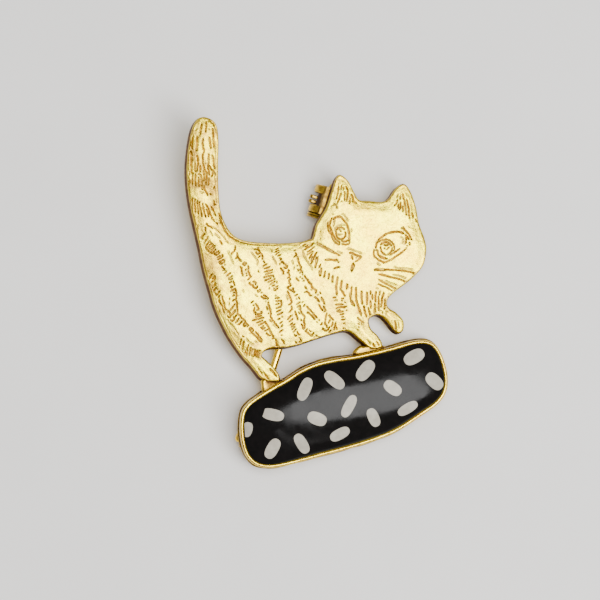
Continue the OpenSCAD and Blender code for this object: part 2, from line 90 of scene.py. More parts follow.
# The engraving, one stroke after another between slashes. "w" gives a stroke's width, "f" makes it faint and "s" is
# a broad painted shade that only dulls the metal. A single place is a dot.
TAIL = """
199.5,119.5 195.5,123.5 193.2,128 191.4,133.5 190.6,139 190.4,144 190,148 190.8,150.5 192.2,152.5 192.3,155 191.8,158
192.3,161 191.7,164 192.2,167 191.7,171 193,173 193.8,174.5 / 188.5,184.5 188.8,190 189.2,193 189.7,197 189.7,201
190.2,205 190.8,208 191.5,212 192.3,216 193,220 193.8,225 195,229 / f 196,233 199,244 202,257 205.5,269 209.5,283
214,297 219,311 225,323 231,335 238,346 247,358 / w1.4 209,118.7 211.5,120.5 213.5,123 215.5,126 216.5,129 217.2,132.5
/ f 217,140 216.8,145 216.5,150 216.8,155 216.3,160 216.5,165 216.3,170 216.3,175 215.5,178 216.5,180.5 217,184
217,190 217.2,195 217.8,200 217.8,203 / w1.4 219.5,212 220.3,216 221.3,220 223,224 224.5,228 229,235 235,239 241,241
245,242 252,243.7 262,244 275,244.5 290,244 300,243.5 / w2 202,124 201.2,128 200.8,131 200.7,134 / f 199.7,129.5
199.7,136 / 207,121 207,126 206.2,129 206.5,132 / 213.2,128 213.7,131 214,137 214.3,141 214.8,145 214.5,147 /
210,128.5 / 209.8,136.5 210.6,139 210.8,142 211.2,145.5 211.7,148.5 / w2 197.5,136.5 197.3,139 198,141.5 197.5,145
197,148 196.8,151 / 203.5,138 203.2,141 203,143 203.5,147 204.5,150 204.2,152 203,155.5 203.2,158 203.5,162.5 204,165
204.8,167.5 205.5,170 207,172 207.3,173.5 207,180 206.5,184.5 / 193.5,134 193,138 192.8,141 192.5,145 192.8,148.5 / f
196.3,128 196.3,131 / 209.4,153 209.2,158 209.5,162 208.7,165 208.3,168 209.5,170.5 210,175 / 213,154.5 214,158
214.2,161.5 214.5,165 215.7,168.5 / 210,165 211.5,168 212,170 / 213,169 214.5,171.5 213.3,173.5 212.5,176.5 /
215.5,172 215.8,175 / f 205.5,161 206,164 / 203.5,170.5 204.5,173 204.7,176 204.5,181 / 197.5,155 198.5,158 198.3,161
198.7,163.5 197.7,166 198,170.5 / 195.3,162.5 195.5,166 195.3,168.5 196,171 198,170.5 / 200.5,165 201,167.5 200.7,172
/ 189.3,163 188.8,166 188.7,168.5 189.5,171 190.3,174.5 / 188.7,177 189.3,178.5 190.5,180 190.8,183 / 195.7,174
195.8,177 196,181 196.2,185.5 / 193.3,175 192.8,178 193,184 / 198.5,173.7 200,173.8 201.3,175 202,178 202.3,181
202.2,184 202.7,187 203,189.5 / 199,177 199,183 199.7,186.5 / 204.3,185 205,189 206.3,191 207.5,193 / 209.7,177
209.3,181 209.3,185 / 212.3,186 / 215.5,185.5 214.3,188.5 / f 200,191 202,192.3 205,192 / s6 213.5,178 213,205 /
192.7,197.5 192.9,208.5 / 195.3,199 195.5,204 196,212.5 / 197.5,200.5 198,204 198.6,209 199,213.7 / 199.5,201.5
200.3,206 201.2,210 202.2,216.5 / 203,203 203.5,207 204.5,211 206.2,217 / 207,208.5 208.3,212 209.3,216.5 /
205.8,203.5 207.5,205.5 209.5,209.5 211,213.5 213,218.5 / 211.8,206 213,208.5 215,211.5 216.3,215 / 207,192
208.5,195.5 / 210.5,193 212,194.5 / 214.5,199.5 215,204 217,204.5 / 213,217.5 215,221 / 206.5,223 208.5,225.5
212,226.5 213,228 / 216.5,221.5 218.5,224 / 198,225 197.5,229 / s5 218,207 217,222 224,236 / f 213,226 219,230 225,237
229,243 / f 215,233 221,238 / f 210,230 213,236 / 205.5,227 206,231
"""
BANDS = """
205.4,233.3 201.3,237.3 / 201.5,237.5 203.5,239 / 208.6,235.8 207.9,237.7 206.5,239.5 204.3,242.5 / 209.6,240.8
206.2,246 / 211.5,243 207.5,248.3 / 213.7,244.8 208.5,250.2 / 215.5,246.5 210.5,251.5 / 216.5,248.6 213.5,252 /
206,246 207,249 208.5,250.3 210.5,252 213,252.5 214.5,252.8 216.4,255.2 / 209.6,240.5 211.5,242.8 213.5,244.6
215.5,246.3 / 219.5,250.5 215.5,253 / 220.3,252 216.4,255.2 / 221,255.5 217.5,257 / 223.5,256 220.5,258 218,259 /
222.3,253.8 223.5,256.3 / 219.3,261.8 223.8,259.2 224.5,260.5 224.2,262 221.5,263.5 219.3,261.8 / 225.2,264.3 /
221.7,266.4 222.5,266.2 224.3,268.5 225.3,270.3 / 223,270.3 225.5,268.3 / 225,272.5 227,270.5 / 227,275.8 230.5,272.5
231,273 / 229,278 232.7,275.3 / 230.5,279.2 233,278.2 / 228.7,278 230,279.5 / 229.5,282.5 232.3,281 / 233.2,280.5
234.5,283 235,285.5 / 231,285.5 231.3,287.3 233.5,286.2 / 230.8,291 233.5,289.2 235.3,288.5 236.2,290.5 236.5,293.5
237,295 236.3,297 236.5,300 237.3,303 237.2,306 237.6,309 238,311 237.5,313.5 240.3,315 241.5,317.2 244,319.3
245.5,321.5 247.3,324 248.3,325 247.2,326.5 / 233,292.5 235.3,292 / 232.5,295.7 235,294.5 / 232.5,300.8 235.5,298.8 /
229.8,297.5 229.7,299 / f 229.2,302 229,305 / 230.3,310 235.5,303.5 / 233,312.5 236,309 / 229.3,317.5 231.8,314.5
236,310.5 / 234.8,317.7 237,314.3 / 233.3,316 234.5,318 233.7,319.7 232.3,320.6 230.8,319.5 / 239.5,317.5 237,321
235.5,323 / 242.8,320.3 240.3,323 238,324.5 / 245.3,321.5 243.3,324.5 / 243.3,324.7 245,326 246.5,324.7 / 249.2,328.6
250.8,327.3 252.3,328.3 253.5,330 253,331.5 / 249.3,328.8 250.7,330.5 252.3,332.7 254.5,334.8 257,337 258.3,339
260.5,341 / 255.3,331 258,334 260.5,337.7 261.7,340 261.5,342.5 / f 255.3,340 257.5,342.5 / 212.8,273.3 211,276
208.6,279.5 / 214.6,275.5 215.4,277.5 214,280 211.4,282.2 / 214.5,276 212.5,278.5 / 215.3,282 215.4,284.5 213,286.5 /
212.3,286 213,287.5 / 216.8,287 213.8,290.8 / 217.5,289.3 / 220.3,290.3 218.5,293 216.8,294.7 215.3,292.7 /
220.8,294.3 218.3,297.3 / 222.3,295.5 223,299 224,302 224.6,304.5 225,307 226.5,309.5 229,310.5 230.3,312.5
229.8,314.5 / 219.7,299 219.3,300.5 221,303.5 222.5,305 223,308 224,311 224.4,312.5 / 227.8,315.5 229.3,317.5 /
227.5,311.5 / 220,240 221.5,242 222.5,244 / 235.3,245 235.5,248.5 234.5,250.5 232.3,252.5 231.5,254.5 / 237.2,251.8
237.8,256 235.5,258.5 / 238.2,256.5 239.2,258.2 241.5,260.5 / 241.8,261 239,259.5 / 244.5,261.3 243.2,263.5 244.8,265
246.5,263 244.5,261.3 / 248.2,265 248.7,268 248.5,271 249.3,273 250.8,276.5 247.5,279.5 / 246.5,268.5 245.5,270 /
246.5,273 / 247,275 / 249,282 250,283.7 252.5,284.5 253.5,286.5 255.5,288 257,287.5 257.5,286 257,285.3 / 252.7,281.5
254.5,281.3 256,282.5 255.5,284.5 / 257.3,290 258.5,291.7 260.3,289.5 259.5,288.8 / 261.5,292.3 / 263.3,294.2
265,295.5 267,297 268,298 267,299 / 261,295.5 263,297.5 264.7,298.2 266.3,298 / f 255.3,293.5 256.5,295.3 258,296.3 /
f 265.5,300 266,302 / 268.3,301 268.3,304.5 269.5,306.5 269.8,308.5 270.8,311 271,313 270.3,315.5 271.5,318
272.5,319.5 274.8,322.5 277,325.5 279,327.7 / 266.5,306 267.8,309.3 / 268.5,313 / 269.3,319 271.5,321.5 / f 272,324
274.5,325.3 277.5,328 / f 228,250 229.5,252.5 230.8,256.5 232.5,260 234,263.8 / 240.2,266 241.8,268.5 242,272
243.2,275.5 / s3 242,279 244,281 244.5,284 246,286.5 247.5,289.5 248.5,291.5 249.5,294 / f 243,288.5 244,292 /
254.3,249 255.8,248 / 256.8,249.5 258,247 258.5,249 260.3,251.8 261.8,254 262.8,256 262.3,259 / 256.3,251 256.3,252.5
257.8,254 260,252 / 263.5,260.5 264.7,262.5 / 258,257 260.5,255.5 / 266.8,263.5 263,265.5 / 270,266.3 264.3,268.2 /
272.5,269.3 264.2,271.5 / 272.5,271.8 265.3,274 / 273.7,277 273,275 263.2,276.8 / 271.5,277.5 264.7,280 / 275,278.3
268,281.8 / 275.3,280.5 273,282.3 270.3,283.7 / 276.7,280.5 277,282.7 / 274.5,284.5 272,285.7 / 269.2,288.3 /
273.7,287.5 275,289.8 277.5,288 277.8,287.3 / 277.8,285.3 275.5,287 / 275.7,295.3 / 274.8,297.8 279.5,297.5 /
275.5,300.8 281.5,300 / 281,300.5 281.5,303.5 280.7,306 280.8,307 / 275.5,304.3 279.3,303 / 276,307.8 280.5,306.3 /
276.3,311.5 281,309.3 / 277,314.7 280,313.5 283,311.5 / 277.8,319 280.3,317.8 / 282,316.5 / 279.8,323 282.3,321 /
280.8,326.5 282.7,324.3 / 279,332 282.8,329.3 / 281.5,335 / 281.3,338.5 283.5,341.3 284.5,344 / f 286.5,348.5 / f
251,251 253,254 255,256 257,259 257.8,260.5 257.3,264.8 / 258,270 259,272 / 253.8,300.5 251.3,302.3 / 255.3,303
257,304.8 258,306.5 259,308.5 258,309.7 256.5,309.5 / 253,304.7 254.5,304.8 / 254.7,307 254,310 255,312.5 256.5,312 /
260.8,310.5 262,312 261,313.3 257.5,314 255.3,314.3 / 255.3,316.7 262,315.3 / w2 261,317.4 264,317.4 / 252.3,320.3
254.5,319.5 261,318 / 256.3,322.5 259,321.5 263,319.8 / 258.3,325 261.5,323.5 265.3,321.3 266.7,324 268.3,326
269.3,328.5 270,331 271.5,333.5 272.8,335.5 273.7,337.7 272,338.8 / 261.3,327.3 264,325.3 / 260.7,327 263.2,329
265.5,327 / 264.5,330.7 268.3,328.7 / 266.3,332.7 268.3,334.7 271,335.3 / 275.3,339 276.5,341 276.5,343.5 277,345
279.5,348 278.5,349.3 / 277,345.5 275.3,346.3 273.5,348.3 / 278.5,247.5 276,249 / 278.8,249.5 275,251.8 / 279,251.7
275.3,254.5 / 280.5,254 277.5,255.8 / 279.3,257.5 281,258 280.7,260 / 279.7,263.5 / 281,262 282.5,261.3 283.8,263
284,264 / 285.3,264 287.2,266.2 286.5,267.5 285,267.8 283.5,266.5 / 288,269 288.8,271 287.8,272.5 286.7,272 /
288.7,273 289.5,275 289,277 287.3,277.8 / 290.5,278 288.8,280 289,282 290,283.5 290.7,285 287.3,286.7 288.7,288.7
291.3,290 293,289.8 293.2,288 292,287.5 / 291.3,290 292.5,291 294.5,291.3 294,292.5 / 294.5,295.5 297.5,293.7 /
296.5,298.5 / 298.5,296.5 299.5,298.8 / 296.5,304 300,301.3 / 302,301.7 303,301.2 / 296.7,306.7 299.5,305.2 300.2,307
300.2,309.5 301,311.5 302,313.5 304,315.5 304.5,317 303.8,319 303.7,321.5 304.5,324.5 304.5,327 303.5,328.8 /
303.3,306 304.7,303.7 / 298.3,308.7 300,308.5 / 298.3,311.5 299.7,313.5 / 301,323.3 302.3,325.5 302.7,328 303.5,329 /
300.5,319 301.5,320.5 / 307.3,328.3 306.3,330.3 305.3,330.5 308,333 309.7,334.5 311.5,335.8 313.8,332.3 / 309,330
311,331.5 / 312.5,341 312.5,339.5 313.5,338 315,336.3 / 315.7,335 317.5,336.5 316.3,338.5 / 319.5,338 317.5,339.5 /
280.3,267.3 282,269.5 283.3,271 283.2,274 / 287.3,290.5 288.7,293.5 289.5,296 290.3,298 291,300 291.7,302 290,303.8
288.3,304.5 / f 286.5,294 287.8,299.5 / 291.3,305.3 291.8,307.5 291,309.5 289.5,311.5 288.8,311.5 / f 272,248
272.5,251.5 / f 272.3,255 273.5,257.5 275,260.5 276.5,264 / f 292,259 292.6,262 293,264 / f 294,265.5 293.8,269 /
294.5,310.5 295.7,313.5 296.8,316.5 297.8,319.5 / 287.3,319.3 291.3,314.7 / 288.7,321.7 292.8,318.3 / 289.7,324.8
292.7,322.3 / 290.8,327 294.8,323.3 / 291.5,329.5 294.7,326.3 / 293,332 296.3,328.5 / 297,331 298,333.5 299.8,335 /
294,334 295.5,335.8 297,334.5 / 299.3,337.7 / 300.5,338.5 300.8,341 299.3,342.8 297,343.7 295.5,341.5 / 295.5,252
296.3,254.5 294,256 / 297,256 297.8,259 298.7,262 299.7,265 301,267 300.3,269 301.5,271 302.8,273 / 304.3,275
305.5,277.5 307.3,279 308,281 309,282.5 311,283.5 311.3,286 312.5,288 314.3,288.7 316,290 315.3,293 / 302.3,274 /
297,265 / 300,276.5 / 302.2,278 / 303.5,280.3 / 311,289.5 / 317.5,294.5 / 297.5,268.5 298.8,270.5 / 300,271.8
299.6,273 / 295.8,277 297.5,279.5 299,280.5 / 294,249.7 295,249.3 / 304.5,285.5 305.3,287.3 306.5,288.7 / 304,292
306.5,291 308.3,292.5 309.7,295 311.5,295.3 / 314,296.5 316,297.5 317.5,299 319,301.5 / 319.3,291.5 320.7,293.5 /
320.8,296.5 322.3,299 323.5,301.5 324.3,304 / 322.8,305.5 324,307.5 325.3,310 324,311.5 / 318.5,304 320,306.5
321,308.5 323,310.5 / 306.3,305.5 308,308 310,309.5 311.5,311.5 313,312.5 313.7,314.3 315.5,316 317.2,317.8 /
307,311.5 309.3,313.3 311.5,315.5 313,317 315,319.5 / 319,319.7 / 317.5,322 316.3,321.3 / 321.8,322 321.3,324
319.8,324.8
"""
CHEST = """
326.7,312.5 325.5,316 325,320 324.7,322.5 325,324 326.5,326 327,327.5 / 328.5,314.5 330,316.5 331.5,318 333.2,320 /
330,319 329,321 328.3,323.3 / 332.5,321.5 332,324.5 331,326.5 / 335.3,322 334.8,325 336,327 336.7,329.5 / 334.3,326
334,328.5 334.3,330 / 329.5,326.5 328,329 327,330.5 325,330.7 322.5,328.8 322.3,327.3 / 330.8,329.7 329,332
328.3,333.5 329.8,335 331.5,334 332.5,331.5 / 333.7,333.5 / 336.5,334.5 / 332.3,297.3 336,296.8 / f 333.5,300
337.5,299.8 / w2 341.5,300 / 341,298 343.5,298 / 344,301.5 345.3,302.3 / 335,304.2 343,304 / 335.5,308.3 338,307
341,306.7 345.5,306.3 346.3,305.5 / 336.5,310.3 339.5,309.5 / 336.5,310.5 338.5,311.5 343,311 / 345.8,310 346.8,309.7
/ 339.5,314.3 343.5,313.5 / 341,316.7 343.5,316.5 / 341,319.5 344.8,319 / 343.3,323.7 344.5,322.5 / 342.5,328.5
344.5,328.5 / 351,286.3 351,290 350.5,294 350,298 351,302 352.5,305 / w1.4 351.3,300 352.8,303 354.3,306 / f 349.3,292
349.3,297 / w1.9 355.3,287 355.5,292 355.5,296 356,300 357,303.5 358,307 359.5,311 361,315 / w1.8 361.2,290.5 361,295
361.2,300 361.8,304 / w1.8 363.3,305.5 364,309 365,313 366.5,316.5 / w1.8 366.3,291.5 366.7,297 366.5,301 366.5,304.7
/ w1.6 367.8,307.5 368.7,311 370,314.5 370.5,316.5 / w1.6 370,290.3 370,294 / w1.6 371.7,294 372,299 / w1.6 370,300.5
370.3,305 370.3,308.5 / w1.7 375.5,291 375,295 375,298 375,302 / w1.6 374.3,303 374.3,308 374.3,312 374.5,315.5 / w1.6
379.5,291 379,295 / w1.6 378.2,296 378.3,300 378.3,304 378,308 378.3,310.5 / w1.6 383.5,292 383,295 382,297 381.3,299
381.8,302 381,304 380.5,306.8 / w1.6 385.3,298 384.8,302 384.5,306 384,309 / f 381.5,311 381.3,314 380.5,317 / f
389,292.5 388,296 / f 387.5,308.5 386,311 384.5,314.5 / w1.6 357,317 359.5,319.5 361.5,321 363.8,322.5 / f 358,320.5
360,322 / 357.5,323.3 359.5,323.7 / 361.5,323.5 362,323 / 358.3,327 / 357,329.7 / w1.6 372.3,343.5 374.8,347.3 / w1.6
376.4,341 378.9,345.5 / f 367,340 370,345 / w1.6 394.3,319.8 395.1,325 395.1,330 / f 398.5,322 399,329 / w1.4 313,242
311.5,244.5 307.5,247 304,249 / 308,244.3 305,246.5 / 305.5,243.5 302.5,245.3 / 314,246 309.5,250 307,251.5 /
313,250.5 306.7,254.2 / 312,253 309,258 / 316.5,251.5 314.5,255 311,262.5 310.3,263.5 / 312.5,256 311,261 / 317.5,256
317,260 315.5,264 314.7,267.5 / 316,257 315.5,263 / w1.4 320.5,263.5 318.5,267.3 / w2 321,267.5 320.5,271 319.7,275.8
/ 319,270 319,274 / w1.6 324.9,270.3 323.6,277 / w1.7 328.6,272.8 328.2,278.6 / w1.9 332.3,275 331.9,282 / w2
337.3,276.5 335.7,286 336.5,294.4 / w1.8 341.4,280 339.8,289.4 / w1.6 340.6,289.4 344.8,296 / w2 346.6,283.5
346.4,288.6 / f 302.5,249 303.5,254 305.5,258 308,262 311.5,266.5 312,270
"""
HAUNCH = """
241.7,338.5 240.8,341.5 240,344.5 / 244.5,340.5 243,344.5 242.3,349 / 242.5,335.5 244.2,336.7 / f 246.5,338 248,340.5
251,343 254,344.5 / 248.7,344 248,346.5 246.5,350 245,353 / 251.2,346.5 250.5,349 249.3,353.5 / 253.5,349 252.5,355 /
247.5,347 247,355 / 250,347.5 249.5,355.5 / 252.2,347.8 251.6,356 / 254.4,348.2 253.8,356.5 / 256,348.8 255.6,356.3 /
257.8,349.2 257.4,357 / 259.5,349.6 259.2,357.4 / 261,350 260.7,357.8 / f 263,351 262.8,358 / s8 229,328 240,342 / s5
226,330 233,343 / f 224,322 231,335 / f 228,320 235,331 / f 232,324 239,335 / w1.6 264.5,373.4 267.5,377 269.8,381.4 /
w1.6 269.8,368 273.5,371.5 277,376 / f 258,368 262,374
"""
FACE = """
w1.7 331.7,217 329.8,221 329,225 330.5,229 331.3,231.5 333,234.8 335,238.5 337.3,240.8 339.5,241.8 / w1.3 327.5,221
327.3,225 327.5,228 328.5,231 331,234 331.5,237 333.5,240.5 336.5,243.3 338.5,244 339.5,242.5 / w1.3 341,243.3
345,244.2 348.5,243.2 349.5,240 / w1.9 333,219 334.5,217 337,216 339.5,216 341.5,217.3 343,219.5 345.5,222.5 347.2,226
348.3,230 349,234 349,238 348.5,240.5 / w1.7 341,240.3 343,241.2 345.5,240.8 347.5,239.5 / f 341,213 344,214.5 346,218
348,221 / f 350.5,228 351.3,231 / f 331.5,213 333,214 / w1.7 335.7,230 337.5,227.4 340,226.7 342.3,227.3 344.3,229.3 /
w1.4 344.5,231 345.3,233.5 345,235.5 343.5,237.5 341,239 338.5,238.5 336.5,236.5 335.5,233 335.5,230.5 / w2
340.3,230.6 / 338.5,229.3 340,229.3 / f 337,233.2 338.5,234 342,233.5 / f 334.3,230 334.8,227 337,225 339.5,224.5
342,224 345,225 / f 334.5,218.5 333.5,222 333,226 / w1.8 376.8,241 375.8,243.5 375.2,247.5 / 375,249.5 377,249.7
377.3,253 378,255.3 / w2.2 378.5,255.5 381,256.8 384,257.8 386.5,258.3 / w1.9 377.5,240 379,238 382,235.8 385,233.5
388,232.3 392,231.3 396,231 400,231.5 403.5,233 / w2 404.5,234 406.5,236.5 408.5,239 / w1.8 408.5,241.5 409.3,244.5 /
406.5,245 / 405.5,247.5 / w1.6 405,248.5 402.5,250.5 400.5,252.5 398,254 395,256 392.5,258 390,259.5 388,260 386.5,261
383,262 380.5,260.5 378,259.5 376.5,258 / w1.3 373.5,249 373,252 373.3,255 374.5,256.5 376.5,258 / f 400,235.5
402,237.5 402.8,240 401.5,243 / w1.3 404.8,236.5 405.5,239.5 405.3,243 / w1.6 399,248 396.5,250 393.5,252 391,253.5
389,254.5 / w1.3 378,241 380,239.8 383,239.2 386,239 389,240 391.5,242 393.3,245 393.8,248 392.5,250.5 / w1.9 380,244
382,242.3 384.5,241.3 387,242 389.3,243.3 391,245.5 / 391.5,247 391,250.5 389.5,252 387,254.3 / w1.6 379.8,246
380.5,250 382,252.5 384,254 386,254.8 / 383,244.5 385.5,244.8 388,244.3 / w2 384,247.8 / 386,249 388.5,246.5 / f
376.5,261.5 377.5,263.5 380.5,264.5 / w1.3 402.5,226 404,229 406,231 408.5,234 410,237.5 411.5,239.5 / 400.5,227
402,228 / f 408,225 410,227 / w2 349,252.3 351.5,252.5 353.5,253.7 356.5,255 360.5,256 / 360.8,256.5 358.5,258.5
356.5,260 355,261 / 350.8,255 351.8,257.5 352.5,259 / 355.5,257 356.5,256.5 / f 346,248 350,248.5 352.5,249.5
355,250.3 358,251.5 361.5,253 / w2.4 352.9,262.6 352,265.5 351.3,268 351.2,271 / 354,264 353,267 352,269.5 / w1.4
316.2,242.1 319.5,243.5 323,245.5 327,247.7 331,250 335,252.5 339.5,255 / w1.4 317,243.5 320.5,245.3 325,248 330,250.7
335,253.2 / w2 324.9,259.2 331,259.3 337.5,259.7 / 337.8,261.5 / w1.9 333.3,268.3 336,267 339.3,266.3 / f 336.5,250.4
342.3,252.9 / 373.5,269 379,268.7 387,269 394,269.5 401,270 407,271 412,272 416,273.2 / w1.2 374,270 380,269.8
385,269.8 / w1.6 378,273.7 383,274.5 388,276 393,277.3 398,278.5 402,280 405,281.3 407.5,282.2 / w1.7 378,279.2
381,281 385,283 389,285 393,287.3 396.8,289.3 / f 393,266 397,267.3 403,267.8 409,268.3 413,269.5 / f 392,274 398,275
402,276.5 406,278 / f 384,280 389,282 393,283.5 397,285.5 / w1.2 377.5,283.5 382,285.5 386,287 389,289 393,291 / f
376,287 378,289 / f 319.8,231 / f 319.8,238.2 / 338,186 337.5,190 336.8,194 335.8,198.5 / 340.7,192 339.5,195
338.5,199 337,202 / 341,184.5 341,189 / 343.3,186 343.3,189 / 345.5,185.5 347.5,189.5 347.5,193 346.8,197 346.3,200.5
/ w1.4 344.5,190.5 344.2,195 344.3,199.8 / 341.2,200.8 / w1.6 351,193.5 352.3,197 353.3,200 355,201.8 356.3,202.5 /
w1.4 349.8,197 349.3,203 / w1.8 336.5,179.5 337.8,178 / s4 339,179 342,179.5 345,181 347.5,184 350,187 351.5,190 / f
330.5,205.5 333,203.5 334.5,204 336.5,203 / s3 333,184 332.5,195 / f 335.5,205 337,208 / s3 338,182 344,183 / w1.8
393.5,191.5 391.5,194.5 389,198.5 387,201 / s4 400,188 403,186.5 406,189 / w1.7 396.5,199 396,202 393.8,205 /
399.5,195 399.5,198.5 / w1.3 398.3,202.5 397.3,206 398.8,209 / w1.3 399.8,201 400,206 399,209 / w1.6 402,192.5 403,197
404.2,202 404.8,207 405.3,211 405.8,214.5 / w1.4 402,205 402.5,211 / w1.6 406,198 407.2,203 408.3,208 408.5,214
409.3,218 / w2 411.5,212 412.8,216.5 / w1.7 415.3,218 416,221 / s5 407,190 410,196 412,203 414,210 415.5,215 / f
397,193 396,197
"""

# The width of a stroke that gives none, and the depth in millimetres of a full cut. A faint stroke is given by its
# width, depth and shade, and a dull one of painted shade, which gives its width, by its depth and shade.
LINE_W, CUT = 1.5, 0.15
FAINT, DULL_PAINTED_SHADE = (1.8, 0.35, 0.55), (0.12, 0.2)
# Patches of painted ochre shade on the face: middle, half width, half height, strength
PAINTED_OCHRE_SHADE = [(212, 152, 12, 20, 0.08), (206, 186, 16, 12, 0.14), (345, 298, 22, 16, 0.3), (370, 310, 12, 16, 0.24),
         (252, 345, 18, 12, 0.14), (400, 322, 14, 8, 0.1), (330, 190, 8, 12, 0.12), (402, 205, 8, 12, 0.12)]
# The farthest that the walls of a crevice cast painted shade on each other
CREVICE_SHADE_REACH = 1.2
# Where the findings leave part.scad: how much nearer to the hinge and thicker the levers are, and the rivet's left head
LEVER_SHIFT, LEVER_MORE, LEFT_HEAD_MORE = 0.16, 0.08, 0.38


def unit(v):
    return v / np.linalg.norm(v)


def on_cat(p):
    p = np.asarray(p, float)
    return np.stack([(p[..., 0] - CAT_LEFT) / (CAT_RIGHT - CAT_LEFT) * CAT_W,
                     (CAT_SOLE - p[..., 1]) / (CAT_SOLE - CAT_TOP) * CAT_H], -1)


def off_cat(p):
    """The place in the drawing of a place on the cat."""
    return np.stack([p[..., 0] / CAT_W * (CAT_RIGHT - CAT_LEFT) + CAT_LEFT,
                     CAT_SOLE - p[..., 1] / CAT_H * (CAT_SOLE - CAT_TOP)], -1)


def in_bezel(p):
    p = np.asarray(p, float)
    return np.stack([(p[..., 0] - BEZEL_LEFT) / (BEZEL_RIGHT - BEZEL_LEFT) * BEZEL_W,
                     (BEZEL_FOOT - p[..., 1]) / (BEZEL_FOOT - BEZEL_TOP) * BEZEL_H], -1)


BEZEL_AT = np.array([on_cat(PAW_SEAT)[0], -PAW_GAP]) - in_bezel(PAW_SEAT)
BEZEL_UNIT = BEZEL_W / (BEZEL_RIGHT - BEZEL_LEFT)


def on_bezel(p):
    return BEZEL_AT + in_bezel(p)


def closed_curve(points, steps):
    """A smooth closed curve through the points."""
    n, out = len(points), []
    for i in range(n):
        a, b, c, d = (np.asarray(points[k % n], float) for k in (i - 1, i, i + 1, i + 2))
        if np.allclose(b, c):
            continue
        count = steps if isinstance(steps, int) else max(2, round(float(np.linalg.norm(c - b)) / steps))
        for t in np.arange(count) / count:
            out.append(b + t * ((c - a) + t * ((2 * a - 5 * b + 4 * c - d) + t * (3 * b - 3 * c + d - a))) / 2)
    return np.array(out)


def normals_in(p):
    """The directions into a clockwise loop, made longer at corners so that a moved loop keeps its distance."""
    edge = np.roll(p, -1, 0) - p
    edge /= np.linalg.norm(edge, axis=1)[:, None]
    side = np.stack([edge[:, 1], -edge[:, 0]], -1)
    both = side + np.roll(side, 1, 0)
    return both / np.maximum(0.5, (both ** 2).sum(1) / 2)[:, None]


def inset(p, d):
    """A clockwise loop moved inwards by d, which is one distance or one for each point."""
    return p + np.asarray(d).reshape(-1, 1) * normals_in(p)


def smoothstep(t):
    t = np.clip(t, 0, 1)
    return t * t * (3 - 2 * t)


def between(a, b, c, d, u, v):
    """The value inside a square: u goes from a to b and from c to d, and v from the first pair to the second."""
    return (a * (1 - u) + b * u) * (1 - v) + (c * (1 - u) + d * u) * v


def noise(x, y, size, seed):
    """Smooth random values from -1 to 1, with features of one size."""
    table = np.random.default_rng(seed).uniform(-1, 1, (64, 64))
    x, y = np.asarray(x) / size + 31.7, np.asarray(y) / size + 17.3
    i, j = np.floor(x).astype(int), np.floor(y).astype(int)
    u, v = smoothstep(x - i), smoothstep(y - j)
    at = lambda a, b: table[a % 64, b % 64]
    return between(at(i, j), at(i + 1, j), at(i, j + 1), at(i + 1, j + 1), u, v)


def sample(grid, low, step, p):
    """The value of a grid at some places, read in a straight line between its points."""
    x, y = ((p - low) / step).T
    j = np.clip(x.astype(int), 0, grid.shape[1] - 2)
    i = np.clip(y.astype(int), 0, grid.shape[0] - 2)
    u, v = np.clip(x - j, 0, 1), np.clip(y - i, 0, 1)
    return between(grid[i, j], grid[i, j + 1], grid[i + 1, j], grid[i + 1, j + 1], u, v)


def blurred(values, rounds):
    """A closed row or a grid of values, each round mixed with its neighbours."""
    for _ in range(rounds):
        for axis in range(values.ndim):
            values = (np.roll(values, 1, axis) + 2 * values + np.roll(values, -1, axis)) / 4
    return values


def staggered(low, high, step, rise):
    """Places in rows, every other row half a step on, with the number of each place's row and column."""
    rows, columns = np.arange(low[1], high[1], rise), np.arange(low[0], high[0], step)
    row, column = (n.ravel() for n in np.mgrid[:len(rows), :len(columns)])
    return np.column_stack([columns[column] + 0.5 * step * (row % 2), rows[row]]), row, column


def arc(r, a):
    """Points of a circle at the angles a."""
    return np.stack([r * np.cos(a), r * np.sin(a)], -1)


def circle(r, count=32):
    """A clockwise circle."""
    return arc(r, np.linspace(0, -2 * math.pi, count, endpoint=False))


# How the brooch lies on its back, worked out as in part.scad
BEZEL_BACK = -BACK_DROP
BEZEL_RIM = BEZEL_BACK + BEZEL_D
STONE_BASE = BEZEL_BACK + BACK_T + STONE_GAP
DOME_EDGE = BEZEL_RIM - RIM_LIP
HINGE_AT, CATCH_AT = on_bezel(HINGE_PLACE), on_cat(CATCH_PLACE)
PIN_DIR = unit(CATCH_AT - HINGE_AT)
PIN_LEFT = np.array([-PIN_DIR[1], PIN_DIR[0]])
CATCH_FAR = float(np.linalg.norm(CATCH_AT - HINGE_AT))
PIN_LEN = CATCH_FAR + PIN_OVER
PIN_DROP = BACK_DROP + PIN_CLEAR + PIN_R
KNUCKLE_R = RIVET_R + HINGE_GAP + KNUCKLE_T
KNUCKLE_W = 2 * (PIN_R + NECK_MORE)
EAR_R = KNUCKLE_R + EAR_OUT
FORK_W = KNUCKLE_W + 2 * HINGE_GAP
HINGE_W = FORK_W + 2 * EAR_T
SLEEVE_BORE = PIN_R + PIN_PLAY
SLEEVE_R = SLEEVE_BORE + SLEEVE_T
RING_BORE = SLEEVE_R + CATCH_GAP
RING_R = RING_BORE + RING_T
HOUSING_LEN = 2 * RING_W + SLIT_W
MOUTH_W = 2 * (PIN_R + MOUTH_GAP)


def plain_curve(points):
    """The outline as part.scad has it, three steps from point to point."""
    return closed_curve(points, 3)


def plain_inset(p, d):
    """The outline moved inwards, as part.scad does it."""
    way = np.roll(p, -1, 0) - np.roll(p, 1, 0)
    way /= np.linalg.norm(way, axis=1)[:, None]
    return p - d * np.stack([-way[:, 1], way[:, 0]], -1)


def with_z(p, z):
    return np.column_stack([p, np.broadcast_to(z, len(p))])


